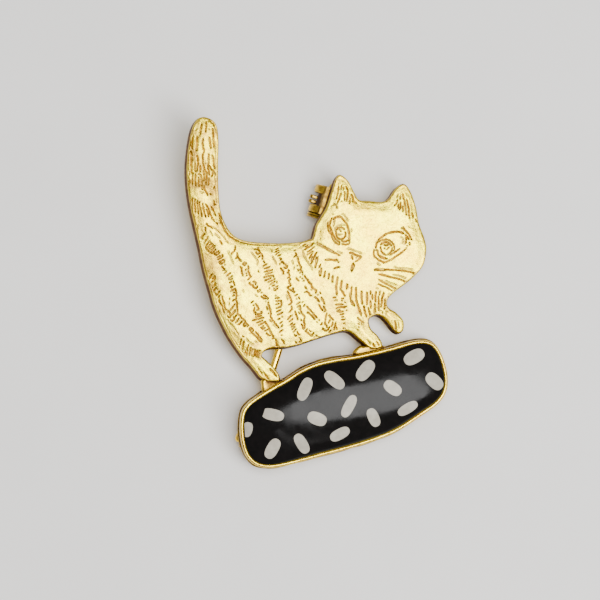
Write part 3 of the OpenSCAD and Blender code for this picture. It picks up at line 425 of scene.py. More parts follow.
def settle():
    """How the brooch turns and moves from its own axes to its rest on the catch, the hinge and the bezel's lip."""
    cat, bezel = plain_curve(on_cat(CAT_OUTLINE)), plain_curve(on_bezel(BEZEL_OUTLINE))
    lip = plain_inset(bezel, -BACK_LIP)
    on_lip = np.append(lip[np.argmax(lip @ -PIN_LEFT)], BEZEL_BACK)
    corner = np.append(HINGE_AT - PIN_LEFT * HINGE_W / 2, -PIN_DROP)
    end = np.append(CATCH_AT - PIN_DIR * HOUSING_LEN / 2, -PIN_DROP)
    up = np.array([0, 0, 1.0])
    for _ in range(4):
        on_hinge, on_ring = corner - EAR_R * up, end - RING_R * up
        up = unit(np.cross(on_lip - on_hinge, on_ring - on_hinge))
    turn = np.array(Matrix.Rotation(math.acos(up[2]), 3, Vector(np.cross(up, [0, 0, 1]))))
    lain = np.vstack([with_z(cat, 0), with_z(cat, PLATE_T), with_z(lip, BEZEL_BACK), with_z(bezel, BEZEL_RIM)]) @ turn.T
    middle = (lain.min(0) + lain.max(0)) / 2
    return turn, np.array([middle[0], middle[1], (turn @ on_lip)[2]])


TURN, REST_AT = settle()


def laid(p):
    """Places on the brooch as they are in the frame, in metres."""
    return (np.asarray(p, float) @ TURN.T - REST_AT) / 1000


PIN_FRAME = (np.array([HINGE_AT[0], HINGE_AT[1], -PIN_DROP]),
             np.array([np.append(PIN_DIR, 0), np.append(PIN_LEFT, 0), [0, 0, 1]]))


def on_pin(p, along=0.0):
    """From the pin's frame, X along the pin, Y to the left and Z to the front, to the brooch."""
    return PIN_FRAME[0] + (np.asarray(p, float) + [along, 0, 0]) @ PIN_FRAME[1]


def inside(p, loop):
    """Which points are inside a loop."""
    out = np.zeros(len(p), bool)
    for (x1, y1), (x2, y2) in zip(loop, np.roll(loop, -1, 0)):
        if y1 != y2:
            out ^= ((y1 > p[:, 1]) != (y2 > p[:, 1])) & (p[:, 0] < (x2 - x1) * (p[:, 1] - y1) / (y2 - y1) + x1)
    return out


def far_from(p, loop):
    """The distance of each point from a loop."""
    tree = kdtree.KDTree(len(loop))
    for k, q in enumerate(loop):
        tree.insert((q[0], q[1], 0), k)
    tree.balance()
    near = np.array([tree.find((x, y, 0))[1] for x, y in p.tolist()], int)
    best = np.full(len(p), np.inf)
    for a, b in ((near - 1, near), (near, (near + 1) % len(loop))):
        start, way = loop[a], loop[b] - loop[a]
        t = np.clip(((p - start) * way).sum(1) / np.maximum(1e-12, (way ** 2).sum(1)), 0, 1)
        best = np.minimum(best, np.linalg.norm(p - start - t[:, None] * way, axis=1))
    return best


def triangles(loops, more=()):
    """Triangles between the points of the loops and more points, inside the first loop. Returns places and faces."""
    starts = np.cumsum([0] + [len(loop) for loop in loops]).tolist()
    edges = [(k - 1 if k > a else b - 1, k) for a, b in zip(starts, starts[1:]) for k in range(a, b)]
    verts = [Vector(p) for p in np.vstack([*loops, *more]).tolist()]
    out = geometry.delaunay_2d_cdt(verts, edges, [], 1, 1e-6, False)
    at, faces = np.array([tuple(v) for v in out[0]]), np.array(out[2], int).reshape(-1, 3)
    return at, faces[inside(at[faces].mean(1), loops[0])]


def new_object(name, data):
    made = bpy.data.objects.new(name, data)
    bpy.context.scene.collection.objects.link(made)
    return made


class Shape:
    """Collects the points and faces of a piece, in millimetres on the brooch, and how dark each point is painted, for
    stains and for painted shade.
    """

    def __init__(self):
        self.points, self.faces, self.values = [], [], []
        self.count = 0

    def add(self, points, faces, value=0.0):
        """Adds points, and faces between them. Returns the number of the first point."""
        points = np.asarray(points, float)
        self.points.append(points)
        self.values.append(np.broadcast_to(np.asarray(value, float), (len(points),)))
        self.faces.extend([tuple(int(k) + self.count for k in f) for f in faces])
        start, self.count = self.count, self.count + len(points)
        return start

    def loft(self, rows, values=None):
        """A skin through closed rows of points, each with its value. Returns where each row starts."""
        n = len(rows[0])
        starts = [self.add(row, [], 0.0 if values is None else values[k]) for k, row in enumerate(rows)]
        for a, b in zip(starts, starts[1:]):
            self.faces.extend([(a + k, a + (k + 1) % n, b + (k + 1) % n, b + k) for k in range(n)])
        return starts

    def wall(self, loop, tops, floor):
        """A wall from the heights tops along a loop down to a flat floor, with the floor."""
        self.loft([with_z(loop, tops), with_z(loop, floor)])
        at, faces = triangles([loop])
        self.add(with_z(at, floor), faces)

    def build(self, name, body, nodes, slot, material, sharp=40, weighted=False):
        mesh = bpy.data.meshes.new(name)
        mesh.from_pydata(laid(np.vstack(self.points)).tolist(), [], self.faces)
        layer = mesh.attributes.new("wear_and_shade", "FLOAT", "POINT")
        layer.data.foreach_set("value", np.concatenate(self.values).astype(np.float32))
        mesh.validate()
        piece = new_object(name, mesh)
        outward(mesh)
        mesh.shade_smooth()
        mesh.set_sharp_from_angle(angle=math.radians(sharp))
        mesh.materials.append(material)
        if weighted:
            piece.modifiers.new("even_shading", "WEIGHTED_NORMAL").keep_sharp = True
        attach(piece, body)
        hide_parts(*nodes)
        return piece


def outward(mesh):
    """Turns all faces outwards. The skins of a piece share no points, so a joined copy tells which faces to flip."""
    joined = bmesh.new()
    joined.from_mesh(mesh)
    number = joined.faces.layers.int.new("number")
    for k, face in enumerate(joined.faces):
        face[number] = k
    bmesh.ops.remove_doubles(joined, verts=joined.verts, dist=1e-7)
    before = {face[number]: face.normal.copy() for face in joined.faces}
    bmesh.ops.recalc_face_normals(joined, faces=joined.faces)
    for face in joined.faces:
        if face.normal.dot(before[face[number]]) < 0:
            mesh.polygons[face[number]].flip()
    joined.free()
    mesh.update()


def prism(shape, loop, low, high, place, edge=0.05, steps=3, value=0.0, holes=(), flat_value=None):
    """A plate with edges rounded by edge: a clockwise loop, and anticlockwise holes, extruded from low to high.

    place maps its points to the brooch, and flat_value takes the place of value on its flat sides.
    """
    turns = np.linspace(0, math.pi / 2, steps + 1)
    levels = [(edge * (1 - math.sin(t)), low + edge * (1 - math.cos(t))) for t in turns]
    levels += [(edge * (1 - math.cos(t)), high - edge * (1 - math.sin(t))) for t in turns]
    loops = [np.asarray(loop, float), *[np.asarray(h, float) for h in holes]]
    walls = []
    for each in loops:
        side = normals_in(each)
        walls.append([each + d * side for d, _ in levels])
        shape.loft([place(with_z(ring, z)) for ring, (_, z) in zip(walls[-1], levels)], [value] * len(levels))
    for level in (0, -1):
        at, faces = triangles([wall[level] for wall in walls])
        for hole in walls[1:]:
            faces = faces[~inside(at[faces].mean(1), hole[level])]
        shape.add(place(with_z(at, levels[level][1])), faces, value if flat_value is None else flat_value)


def read_strokes(text):
    """The strokes of a table, each as width, depth, shade and points."""
    out = []
    for part in text.replace("\n", " ").split("/"):
        width, depth, shade, points = LINE_W, 1.0, 1.0, []
        for word in part.split():
            if word[0] == "w":
                width = float(word[1:])
            elif word == "f":
                width, depth, shade = FAINT
            elif word[0] == "s":
                width, depth, shade = float(word[1:]), *DULL_PAINTED_SHADE
            else:
                points.append([float(v) for v in word.split(",")])
        if points:
            out.append((width, depth, shade, np.array(points)))
    return out


class Relief:
    """The engraved face as a fine grid over the drawing: how deep it is cut and how dark it is."""
    STEP, MARGIN = 0.25, 2
    # How far a cut reaches beyond its stroke, how far its stain reaches beyond the cut, and how dark that is
    WIDER, BEYOND, DARK = 0.08, 0.14, 0.42
    LEFT, TOP = CAT_LEFT - MARGIN, CAT_TOP - MARGIN

    def __init__(self):
        self.shape = (int((CAT_SOLE + self.MARGIN - self.TOP) / self.STEP),
                      int((CAT_RIGHT + self.MARGIN - self.LEFT) / self.STEP))
        self.depth = np.zeros(self.shape)
        self.shade = np.zeros(self.shape)

    def cut(self, width, depth, shade, points):
        """Cuts a stroke that tapers at its ends. A single place becomes a short dash."""
        if len(points) == 1:
            points = points + [[-0.35, -0.2], [0.35, 0.2]]
            width += 0.3
        reach = width * 0.5 + 0.8
        low, high = points.min(0) - reach, points.max(0) + reach
        j0, i0 = np.maximum(0, ((low - [self.LEFT, self.TOP]) / self.STEP).astype(int))
        j1, i1 = ((high - [self.LEFT, self.TOP]) / self.STEP).astype(int) + 1
        y, x = np.mgrid[i0:min(i1, self.shape[0]), j0:min(j1, self.shape[1])] * self.STEP
        x, y = x + self.LEFT, y + self.TOP
        step = np.linalg.norm(np.diff(points, axis=0), axis=1)
        run = np.concatenate([[0], np.cumsum(step)])
        near, along = np.full(x.shape, 1e9), np.zeros(x.shape)
        for (ax, ay), (bx, by), length, before in zip(points, points[1:], step, run):
            t = np.clip(((x - ax) * (bx - ax) + (y - ay) * (by - ay)) / max(length ** 2, 1e-9), 0, 1)
            d = np.hypot(x - ax - t * (bx - ax), y - ay - t * (by - ay))
            closer = d < near
            near, along = np.where(closer, d, near), np.where(closer, before + t * length, along)
        ends = np.minimum(along, run[-1] - along)
        taper = np.sqrt(np.clip((ends + 0.5) / 1.8, 0.15, 1)) * (1 + 0.12 * noise(x, y, 1.7, 3))
        half = width / 2 * taper + self.WIDER
        profile = np.where(near < half, np.cos(np.clip(near / half, 0, 1) * math.pi / 2) ** 1.5, 0)
        depth_here = depth * taper * min(1.35, 0.55 + 0.35 * width if width < 3 else 0.7) * profile
        fall = np.cos(np.clip(near / (half + self.BEYOND), 0, 1) * math.pi / 2)
        stain_and_shade = self.DARK * shade * np.clip(1.2 * fall, 0, 1)
        window = np.s_[i0:i0 + x.shape[0], j0:j0 + x.shape[1]]
        self.depth[window] = np.maximum(self.depth[window], depth_here)
        self.shade[window] = np.maximum(self.shade[window], stain_and_shade)

    def look_up(self, grid, p):
        """The value of one of the grids at places on the cat."""
        return sample(grid, [self.LEFT, self.TOP], self.STEP, off_cat(p))


# Materials
def node(tree, kind, inputs=(), **settings):
    """A new node, whose inputs are values or the sockets of other nodes."""
    made = tree.nodes.new(kind)
    for key, value in settings.items():
        setattr(made, key, value)
    for key, value in dict(inputs).items():
        if isinstance(value, bpy.types.NodeSocket):
            tree.links.new(value, made.inputs[key])
        else:
            made.inputs[key].default_value = value
    return made


def new_material(name):
    """Returns the material, its nodes, its shader and the place on the surface in millimetres."""
    material = bpy.data.materials.new(name)
    material.use_nodes = True
    tree = material.node_tree
    shader = tree.nodes["Principled BSDF"]
    place = node(tree, "ShaderNodeTexCoord").outputs["Object"]
    in_mm = node(tree, "ShaderNodeVectorMath", {0: place, "Scale": 1000.0}, operation="SCALE").outputs[0]
    return material, tree, shader, in_mm


def texture(tree, place, scale, detail, rough=0.55):
    return node(tree, "ShaderNodeTexNoise", {"Vector": place, "Scale": scale, "Detail": detail,
                                             "Roughness": rough}).outputs["Fac"]


def ramp(tree, factor, *stops):
    made = node(tree, "ShaderNodeValToRGB", {"Fac": factor})
    band = made.color_ramp
    while len(band.elements) < len(stops):
        band.elements.new(0.5)
    for element, (place, colour) in zip(band.elements, stops):
        element.position = place
        element.color = (*colour, 1)
    return made.outputs["Color"]


def remap(tree, value, low, high, to_low, to_high):
    return node(tree, "ShaderNodeMapRange", {"Value": value, "From Min": low, "From Max": high, "To Min": to_low,
                                             "To Max": to_high}).outputs["Result"]


def plus(tree, a, b):
    return node(tree, "ShaderNodeMath", {0: a, 1: b}, operation="ADD").outputs[0]


def add_bumps(tree, shader, height, strength, distance):
    bumped = node(tree, "ShaderNodeBump", {"Height": height, "Strength": strength, "Distance": distance})
    tree.links.new(bumped.outputs["Normal"], shader.inputs["Normal"])


def mix(tree, share, a, b):
    """A colour between a and b, which are colours or sockets."""
    made = node(tree, "ShaderNodeMix", {0: share}, data_type="RGBA")
    for socket, value in zip([s for s in made.inputs if s.type == "RGBA"], (a, b)):
        if isinstance(value, bpy.types.NodeSocket):
            tree.links.new(value, socket)
        else:
            socket.default_value = value
    return [s for s in made.outputs if s.type == "RGBA"][0]


def gold(name, pale, deep, dark, rough, bump):
    """Worn gold plate: pale on the high places, dark in the cuts and under painted shade, with fine pits and a little
    unevenness.
    """
    material, tree, shader, place = new_material(name)
    wear_and_shade = node(tree, "ShaderNodeAttribute", attribute_name="wear_and_shade").outputs["Fac"]
    broad = texture(tree, place, 0.35, 2)
    fine = texture(tree, place, 3.2, 4, 0.6)
    tint = ramp(tree, broad, (0.34, deep), (0.68, pale))
    specks = remap(tree, texture(tree, place, 3.6, 2, 0.5), 0.63, 0.77, 0.0, 0.5)
    patina = remap(tree, texture(tree, place, 0.9, 4, 0.65), 0.42, 0.75, 0.0, 0.30)
    # How far the colour goes towards dark: from the attribute's stains and painted shade, with specks and patina
    cut = remap(tree, plus(tree, plus(tree, wear_and_shade, specks), patina), 0.08, 0.95, 0.0, 1.0)
    warm = mix(tree, remap(tree, cut, 0.0, 0.4, 0.0, 1.0), tint, (*WARM_GOLD, 1))
    tree.links.new(mix(tree, remap(tree, cut, 0.3, 1.0, 0.0, 1.0), warm, (*dark, 1)), shader.inputs["Base Color"])
    shader.inputs["Metallic"].default_value = 1.0
    dull = plus(tree, remap(tree, fine, 0.3, 0.7, *rough), remap(tree, wear_and_shade, 0, 1, 0, 0.25))
    tree.links.new(dull, shader.inputs["Roughness"])
    pits = remap(tree, texture(tree, place, 9.0, 3, 0.5), 0.25, 0.75, -0.35, 0.35)
    waves = remap(tree, texture(tree, place, 1.3, 2), 0, 1, 0, 3.2)
    add_bumps(tree, shader, plus(tree, pits, waves), bump, 0.00003)
    return material


def polished(name, base, mottle, rough, ior, gloss):
    """Glossy stone or enamel with a faint mottle under its polish."""
    material, tree, shader, place = new_material(name)
    cloud = texture(tree, place, 1.1, 5, 0.6)
    colour = ramp(tree, cloud, (0.3, base), (0.7, mottle))
    tree.links.new(colour, shader.inputs["Base Color"])
    shader.inputs["IOR"].default_value = ior
    shader.inputs["Specular IOR Level"].default_value = gloss
    smear = texture(tree, place, 0.5, 4, 0.6)
    tree.links.new(remap(tree, smear, 0.3, 0.7, *rough), shader.inputs["Roughness"])
    add_bumps(tree, shader, texture(tree, place, 0.9, 2), 0.12, 0.00004)
    return material


WARM_GOLD = (0.55, 0.345, 0.04)
FACE_TINTS = (1.0, 0.86, 0.02), (0.90, 0.63, 0.015), (0.085, 0.030, 0.006)
TRIM_TINTS = (1.0, 0.76, 0.08), (0.90, 0.57, 0.05), (0.05, 0.021, 0.006)
FACE_GOLD = gold("gold_face", *FACE_TINTS, rough=(0.2, 0.36), bump=0.6)
TRIM_GOLD = gold("gold_trim", *TRIM_TINTS, rough=(0.16, 0.3), bump=0.4)
PIN_GOLD = gold("gold_pin", *TRIM_TINTS, rough=(0.12, 0.24), bump=0.2)
STONE_BLACK = polished("black_stone", (0.003, 0.003, 0.003), (0.006, 0.005, 0.005), (0.06, 0.2), 1.31, 0.26)
GRAIN_WHITE = polished("white_grain", (0.38, 0.352, 0.29), (0.50, 0.47, 0.39), (0.10, 0.18), 1.25, 0.4)


# The cat plate
def engraved():
    """The relief with all strokes, the metal round them darkened in clouds."""
    relief = Relief()
    for text in (TAIL, BANDS, CHEST, HAUNCH, FACE):
        for stroke in read_strokes(text):
            relief.cut(*stroke)
    relief.depth = blurred(relief.depth, 1)
    y, x = np.mgrid[0:relief.shape[0], 0:relief.shape[1]] * relief.STEP
    cloud = noise(x, y, 3.1, 21) + 0.6 * noise(x, y, 1.3, 22)
    relief.shade = np.maximum(relief.shade, blurred(relief.shade, 40) * np.clip(0.55 + 0.5 * cloud, 0, 1.2))
    return relief


def face_mesh(outline, relief):
    """Triangles inside the outline, fine where it is engraved and coarse elsewhere."""
    step, around, busy, free = 0.07, 0.1, 0.012, 0.36
    grid, row, column = staggered((-around, -around), (CAT_W + around, CAT_H + around), step, step * math.sqrt(3) / 2)
    detail = relief.look_up(blurred(relief.depth, 3), grid) > busy
    coarse = (row % 4 == 0) & ((column + row // 4 % 2) % 3 == 0)
    grid = grid[detail | coarse]
    grid = grid[inside(grid, outline)]
    grid = grid[far_from(grid, outline) > free]
    # Rings along the outline, without the places where they cross themselves
    rings = []
    for d in (0.05, 0.12, 0.2, 0.3):
        ring = inset(outline, d)
        rings.append(ring[np.abs(far_from(ring, outline) - d) < 0.02])
    return triangles([outline], [*rings, grid])


def painted_ochre_shade_at(p):
    """How much painted ochre shade the face gets at places on the cat: more towards the left, and in patches."""
    x, y = off_cat(p).T
    ochre_shade = 0.26 * smoothstep((262 - x) / 70)
    for patch_x, patch_y, wide, tall, share in PAINTED_OCHRE_SHADE:
        ochre_shade += share * np.exp(-((x - patch_x) / wide) ** 2 - ((y - patch_y) / tall) ** 2)
    return ochre_shade * np.clip(0.65 + 0.9 * noise(*p.T, 1.7, 31) + 0.5 * noise(*p.T, 0.7, 32), 0, 1.6)


def make_cat():
    foot_line = closed_curve(on_cat(CAT_OUTLINE), 0.13)
    side = normals_in(foot_line)
    # The plate's lower left walls slope
    slant = blurred(0.04 + 0.36 * np.clip(side @ [0.82, 0.57], 0, 1), 12)
    outline = inset(foot_line, slant)
    relief = engraved()
    burr = np.clip(blurred(relief.depth, 8) - relief.depth, 0, None) * 0.25
    at, faces = face_mesh(outline, relief)

    d = far_from(at, outline)
    ground, r = PLATE_T - 0.07, 0.22
    edge = np.where(d < r, r - np.sqrt(np.maximum(0, r * r - (r - np.minimum(d, r)) ** 2)), 0)
    pillow = 0.16 * (1 - smoothstep(d / 1.5)) + 0.10 * (1 - smoothstep(d / 4))
    uneven = 0.030 * noise(*at.T, 2.4, 5) + 0.016 * noise(*at.T, 1.1, 6) + 0.004 * noise(*at.T, 0.5, 7)
    fade = smoothstep((d - 0.08) / 0.25)
    carve = relief.look_up(relief.depth, at) * CUT * fade
    z = ground - edge - pillow + (uneven + relief.look_up(burr, at) * CUT) * fade - carve
    # The darkening of the face: the cuts' own darkening, with painted shade added: ochre patches, more to the left, and
    # a dark band along the edge
    stain_and_shade = relief.look_up(relief.shade, at) * fade
    stain_and_shade += painted_ochre_shade_at(at) * fade * (1 - np.clip(stain_and_shade / 0.25, 0, 1)) + 0.22 * (1 - smoothstep(d / 0.5))
    shape = Shape()
    shape.add(with_z(at, np.minimum(z, PLATE_T)), faces, stain_and_shade)

    top = z[:len(outline)]
    sway = 0.025 * noise(*outline.T, 0.8, 9)
    # The rows of the wall: how much of the slant and of the sway, how high, and how dark it is painted, which is
    # painted shade on the sides
    bevel = 0.12
    rows = [(slant, 0.0, 1.0, 0.2), (0.8 * slant, 0.0, 0.86, 0.85), (0.35 * slant, 1.0, 0.5, 0.95),
            (0.06 * slant, 0.6, 0.26, 0.8), (0.0, 0.0, 0.16, 0.3), (0.03, 0.0, 0.05, 0.25), (bevel, 0.0, 0.0, 0.2)]
    shape.loft([with_z(foot_line + np.reshape(slid + swayed * sway, (-1, 1)) * side, top * share)
                for slid, swayed, share, _ in rows], [value for *_, value in rows])
    at, faces = triangles([foot_line + bevel * side])
    shape.add(with_z(at, 0.0), faces, 0.15)
    return shape.build("cat_plate", "brooch", ["cat_setting"], "gold_plate", FACE_GOLD, sharp=60)


# The bezel: a thin strip bent round the stone, its rim pressed in, soldered on a flat back
def make_bezel():
    outline = closed_curve(on_bezel(BEZEL_OUTLINE), 0.14)
    side = normals_in(outline)
    run = np.linspace(0, 1, len(outline), endpoint=False) * 2 * math.pi
    wave = 0.5 * np.sin(5 * run + 1) + 0.3 * np.sin(11 * run + 2) + 0.35 * np.sin(23 * run)
    floor, sway = BEZEL_BACK + BACK_T, 0.02
    # From the back up and over the rim: how far in, how high above the back or below the rim, and how dark it is
    # painted, which is painted shade low on the wall, in a line on the rim and where it turns in to the stone
    profile = [(0.0, floor - 0.02, 0.9), (0.0, floor + 0.2, 0.7), (0.0, floor + 0.9, 0.6)]
    profile += [(d, BEZEL_RIM - drop, value) for d, drop, value in (
        (0.0, 0.45, 0.25), (0.01, 0.3, 0.05), (0.05, 0.18, 0), (0.11, 0.1, 0.25), (0.16, 0.05, 0.3), (0.22, 0.01, 0.05),
        (0.3, 0, 0), (0.38, 0.04, 0), (0.45, 0.09, 0.1), (0.51, 0.13, 0.6), (0.54, 0.2, 1), (0.5, 0.6, 1))]
    shape = Shape()
    rows = []
    for d, z, _ in profile:
        bend = wave * sway * (0.2 + d)
        rows.append(with_z(outline + (d + bend)[:, None] * side, z - (sway + sway * wave) * (z > BEZEL_RIM - 0.3)))
    shape.loft(rows, [value for *_, value in profile])
    lip = inset(outline, -BACK_LIP * (0.75 + 0.25 * noise(*outline.T, 1.3, 51)))
    prism(shape, lip, BEZEL_BACK, floor, lambda p: p, edge=0.2, value=0.5, flat_value=0.12)
    return shape.build("bezel", "brooch", ["cat_setting"], "gold_plate", TRIM_GOLD, sharp=50)


def make_feet():
    shape = Shape()
    lumpy = lambda p: p + 0.05 * np.stack([noise(p[:, 0], p[:, 1] + p[:, 2], 0.5, seed) for seed in (41, 42, 43)], -1)
    for paw, rim in (HIND_FOOT, FORE_FOOT):
        loop = inset(closed_curve(np.vstack([on_cat(paw), on_bezel(rim)]), 0.15), 0.12)
        prism(shape, loop, 0.05, 0.8 * FOOT_T, lumpy, edge=0.4, steps=5, value=0.15)
    return shape.build("solder", "brooch", ["cat_setting"], "gold_plate", TRIM_GOLD, sharp=60)


# The stone and its grains share one skin, so the grains lie flush
def grain_loop(grain):
    """A grain's outline on the brooch: a full oval, cut off where its left end is broken."""
    (x, y), length, width, slope, *broken = grain
    size = np.array([length, width]) * BEZEL_UNIT / 2
    way = circle(1, 40)
    p = size * np.sign(way) * np.abs(way) ** (2 / GRAIN_BULGE)
    if broken:
        p[:, 0] = np.maximum(p[:, 0], -broken[0] * size[0] + 0.12 * p[:, 1])
    c, s = math.cos(math.radians(slope)), math.sin(math.radians(slope))
    return on_bezel((x, y)) + p @ np.array([[c, s], [-s, c]])


def dome_over(outline):
    """The height of a smooth dome over the outline: the shape of a film blown up over it, worked out on a grid."""
    around, fullness = 0.6, 0.68
    low, high = outline.min(0) - around, outline.max(0) + around
    film = None
    for step, rounds in ((0.8, 300), (0.4, 400), (0.2, 400), (0.1, 300)):
        counts = np.ceil((high - low) / step).astype(int) + 1
        x, y = low[0] + step * np.arange(counts[0]), low[1] + step * np.arange(counts[1])
        places = np.stack(np.meshgrid(x, y), -1).reshape(-1, 2)
        within = inside(places, outline).reshape(counts[1], counts[0])
        film = np.zeros(within.shape) if film is None else sample(film, low, last, places).reshape(within.shape)
        for _ in range(rounds):
            film = np.where(within, (np.roll(film, 1, 0) + np.roll(film, -1, 0) + np.roll(film, 1, 1)
                                     + np.roll(film, -1, 1) + step * step) / 4, 0)
        last = step
    # Near the outline the grid is too coarse: there the film rises evenly with the distance from it
    deep = far_from(places, outline).reshape(within.shape) * np.where(within, 1, -1)
    sure = (deep > 0.35) & (deep < 0.9)
    slope = blurred(np.where(sure, film / np.maximum(deep, 0.1), 0), 40) / np.maximum(blurred(1.0 * sure, 40), 1e-4)
    share = smoothstep((deep - 0.3) / 0.6)
    film = share * blurred(film, 3) + (1 - share) * slope * deep
    top = film.max()
    return lambda p: DOME_EDGE + DOME_H * (np.clip(sample(film, low, last, p), 0, top) / top) ** fullness


def make_stone():
    outline = inset(closed_curve(on_bezel(BEZEL_OUTLINE), 0.2), BEZEL_T + STONE_GAP)
    dome = dome_over(outline)

    loops = []
    for grain in GRAINS:
        loop = grain_loop(grain)
        loops.append(loop[inside(loop, outline) & (far_from(loop, outline) > 0.05)])
    step = 0.22
    grid, _, _ = staggered(outline.min(0), outline.max(0), step, step * 0.866)
    grid = grid[inside(grid, outline)]
    grid = grid[far_from(grid, outline) > 0.12]
    for loop in loops:
        grid = grid[far_from(grid, loop) > 0.06]
    at, faces = triangles([outline, *loops], [grid])
    height = dome(at)
    middles = at[faces].mean(1)

    def skin(mine):
        """A new shape with those faces of the dome."""
        shape = Shape()
        used, local = np.unique(faces[mine], return_inverse=True)
        shape.add(with_z(at[used], height[used]), local.reshape(-1, 3))
        return shape

    taken = np.zeros(len(faces), bool)
    floor = DOME_EDGE - GRAIN_D
    for k, loop in enumerate(loops, 1):
        mine = inside(middles, loop) & ~taken
        taken |= mine
        shape = skin(mine)
        shape.wall(loop, dome(loop), floor)
        shape.build(f"grain_{k:02d}", "brooch", [f"dash_{k:02d}"], "white_grain", GRAIN_WHITE, sharp=50)
    shape = skin(~taken)
    shape.wall(outline, dome(outline), STONE_BASE)
    for loop in loops:
        shape.wall(loop, dome(loop), floor - 0.01)
    return shape.build("stone", "brooch", ["cabochon"], "black_stone", STONE_BLACK, sharp=50)


# The catch, the hinge and the pin
def open_ring(outer, bore, mouth, count=56):
    """A clockwise C with its mouth downwards, in the plane across the pin."""
    lo, hi = math.asin(mouth / 2 / outer), math.asin(mouth / 2 / bore)
    a = np.linspace(-math.pi / 2 - lo, -math.pi / 2 - 2 * math.pi + lo, count)
    b = np.linspace(-math.pi / 2 - 2 * math.pi + hi, -math.pi / 2 - hi, count)
    return np.vstack([arc(outer, a), arc(bore, b)])


def across(along):
    """Places a shape drawn in the plane across the pin: its third number runs along the pin."""
    return lambda p: on_pin(p[:, [2, 0, 1]], along)


def sideways(p):
    """Places a shape drawn in the pin's plane of swing: its third number runs across the pin."""
    return on_pin(np.column_stack([p[:, 0], p[:, 2], p[:, 1]]))


def make_catch_housing():
    shape, place = Shape(), across(CATCH_FAR)
    ring = open_ring(RING_R, RING_BORE, MOUTH_W)
    for start in (-HOUSING_LEN / 2, SLIT_W / 2):
        prism(shape, ring, start, start + RING_W, place, edge=0.3, steps=5, value=0.3)
    # The block between the rings and the plate: its left side from the bore up, the right side mirrored, and the bore
    half = 0.46 * BASE_W
    low = math.sqrt(RING_BORE ** 2 - half ** 2)
    left = np.array([(-half, low), (-1.3, low), (-1.3, 1.1), (-1.05, 1.5), (-0.7, 1.9), (-0.62, PIN_DROP)])
    bore = arc(RING_BORE, np.linspace(math.atan2(low, -half), math.atan2(low, half), 14))
    block = np.vstack([left, left[::-1] * [-1, 1], bore[1:-1][::-1]])
    prism(shape, block, -HOUSING_LEN / 2, HOUSING_LEN / 2, place, edge=0.08, value=0.65)
    return shape.build("catch_housing", "brooch", ["cat_setting"], "gold_plate", TRIM_GOLD, sharp=35, weighted=True)


def make_hinge():
    shape = Shape()
    high = PIN_DROP - BACK_DROP + 0.05
    ear = np.vstack([arc(EAR_R, np.linspace(math.pi, 2 * math.pi, 28))[::-1], [(-EAR_R, high), (EAR_R, high)]])
    hole = circle(RIVET_R + HINGE_GAP / 2)[::-1]
    for low in (-HINGE_W / 2, FORK_W / 2):
        prism(shape, ear, low, low + EAR_T, sideways, edge=0.1, value=0.15, holes=[hole])
    web = [(-EAR_R, high), (EAR_R, high), (EAR_R, KNUCKLE_R + HINGE_GAP), (-EAR_R, KNUCKLE_R + HINGE_GAP)]
    prism(shape, web, -FORK_W / 2 - 0.05, FORK_W / 2 + 0.05, sideways, edge=0.03, value=0.4)
    return shape.build("hinge_bracket", "brooch", ["cat_setting"], "gold_plate", TRIM_GOLD, sharp=35, weighted=True)


def make_rivet():
    shape = Shape()
    reach = HINGE_W / 2 + HINGE_GAP
    profile = [(0.3, -0.97), (0.55, -0.8), (0.68, -0.5), (0.7, -0.2), (0.68, 0)]
    for side, head in ((-1, HEAD_T), (1, HEAD_T + LEFT_HEAD_MORE)):
        base = side * reach
        rows = [circle(r) for r, _ in profile]
        starts = shape.loft([sideways(with_z(row, base - side * h * head)) for row, (_, h) in zip(rows, profile)])
        tip = shape.add(sideways(np.array([[0, 0, base + side * head]])), [])
        n = len(rows[0])
        shape.faces.extend([(starts[0] + k, starts[0] + (k + 1) % n, tip) for k in range(n)])
    prism(shape, circle(RIVET_R), -reach - 0.02, reach + 0.02, sideways, edge=0.02, steps=1)
    return shape.build("rivet", "brooch", ["hinge_rivet"], "pin_gold", PIN_GOLD, sharp=50)


def make_pin():
    shape = Shape()
    point, end_r = PIN_LEN - POINT_LEN, 0.015
    taper = point - TAPER_LEN
    # The wire's stations from the neck to the point: how far from the rivet, and the radius there
    stations = [(0.55, PIN_R + NECK_MORE), (0.9, PIN_R + NECK_MORE), (1.6, PIN_R + NECK_MORE * 0.8), (NECK_LEN, PIN_R)]
    stations += [(x, PIN_R) for x in np.linspace(NECK_LEN, taper, 12)[1:]]
    stations += [(x, PIN_R + (TIP_R - PIN_R) * smoothstep((x - point + TAPER_LEN) / TAPER_LEN))
                 for x in np.linspace(taper, point, 12)[1:]]
    stations += [(point + POINT_LEN * t, TIP_R * math.sqrt(1 - t ** 1.6)) for t in (0.15, 0.35, 0.55, 0.75, 0.9)]
    stations.append((point + POINT_LEN, end_r))
    rows = [across(x)(with_z(circle(r), 0)) for x, r in stations]
    shape.loft(rows)
    shape.add(rows[-1], [range(len(rows[-1]))])
    bore = circle(RIVET_R + HINGE_GAP)[::-1]
    prism(shape, circle(KNUCKLE_R, 48), -KNUCKLE_W / 2, KNUCKLE_W / 2, sideways, edge=0.12, value=0.1, holes=[bore])
    return shape.build("pin", "pin", ["pin_stem"], "pin_gold", PIN_GOLD, sharp=40)


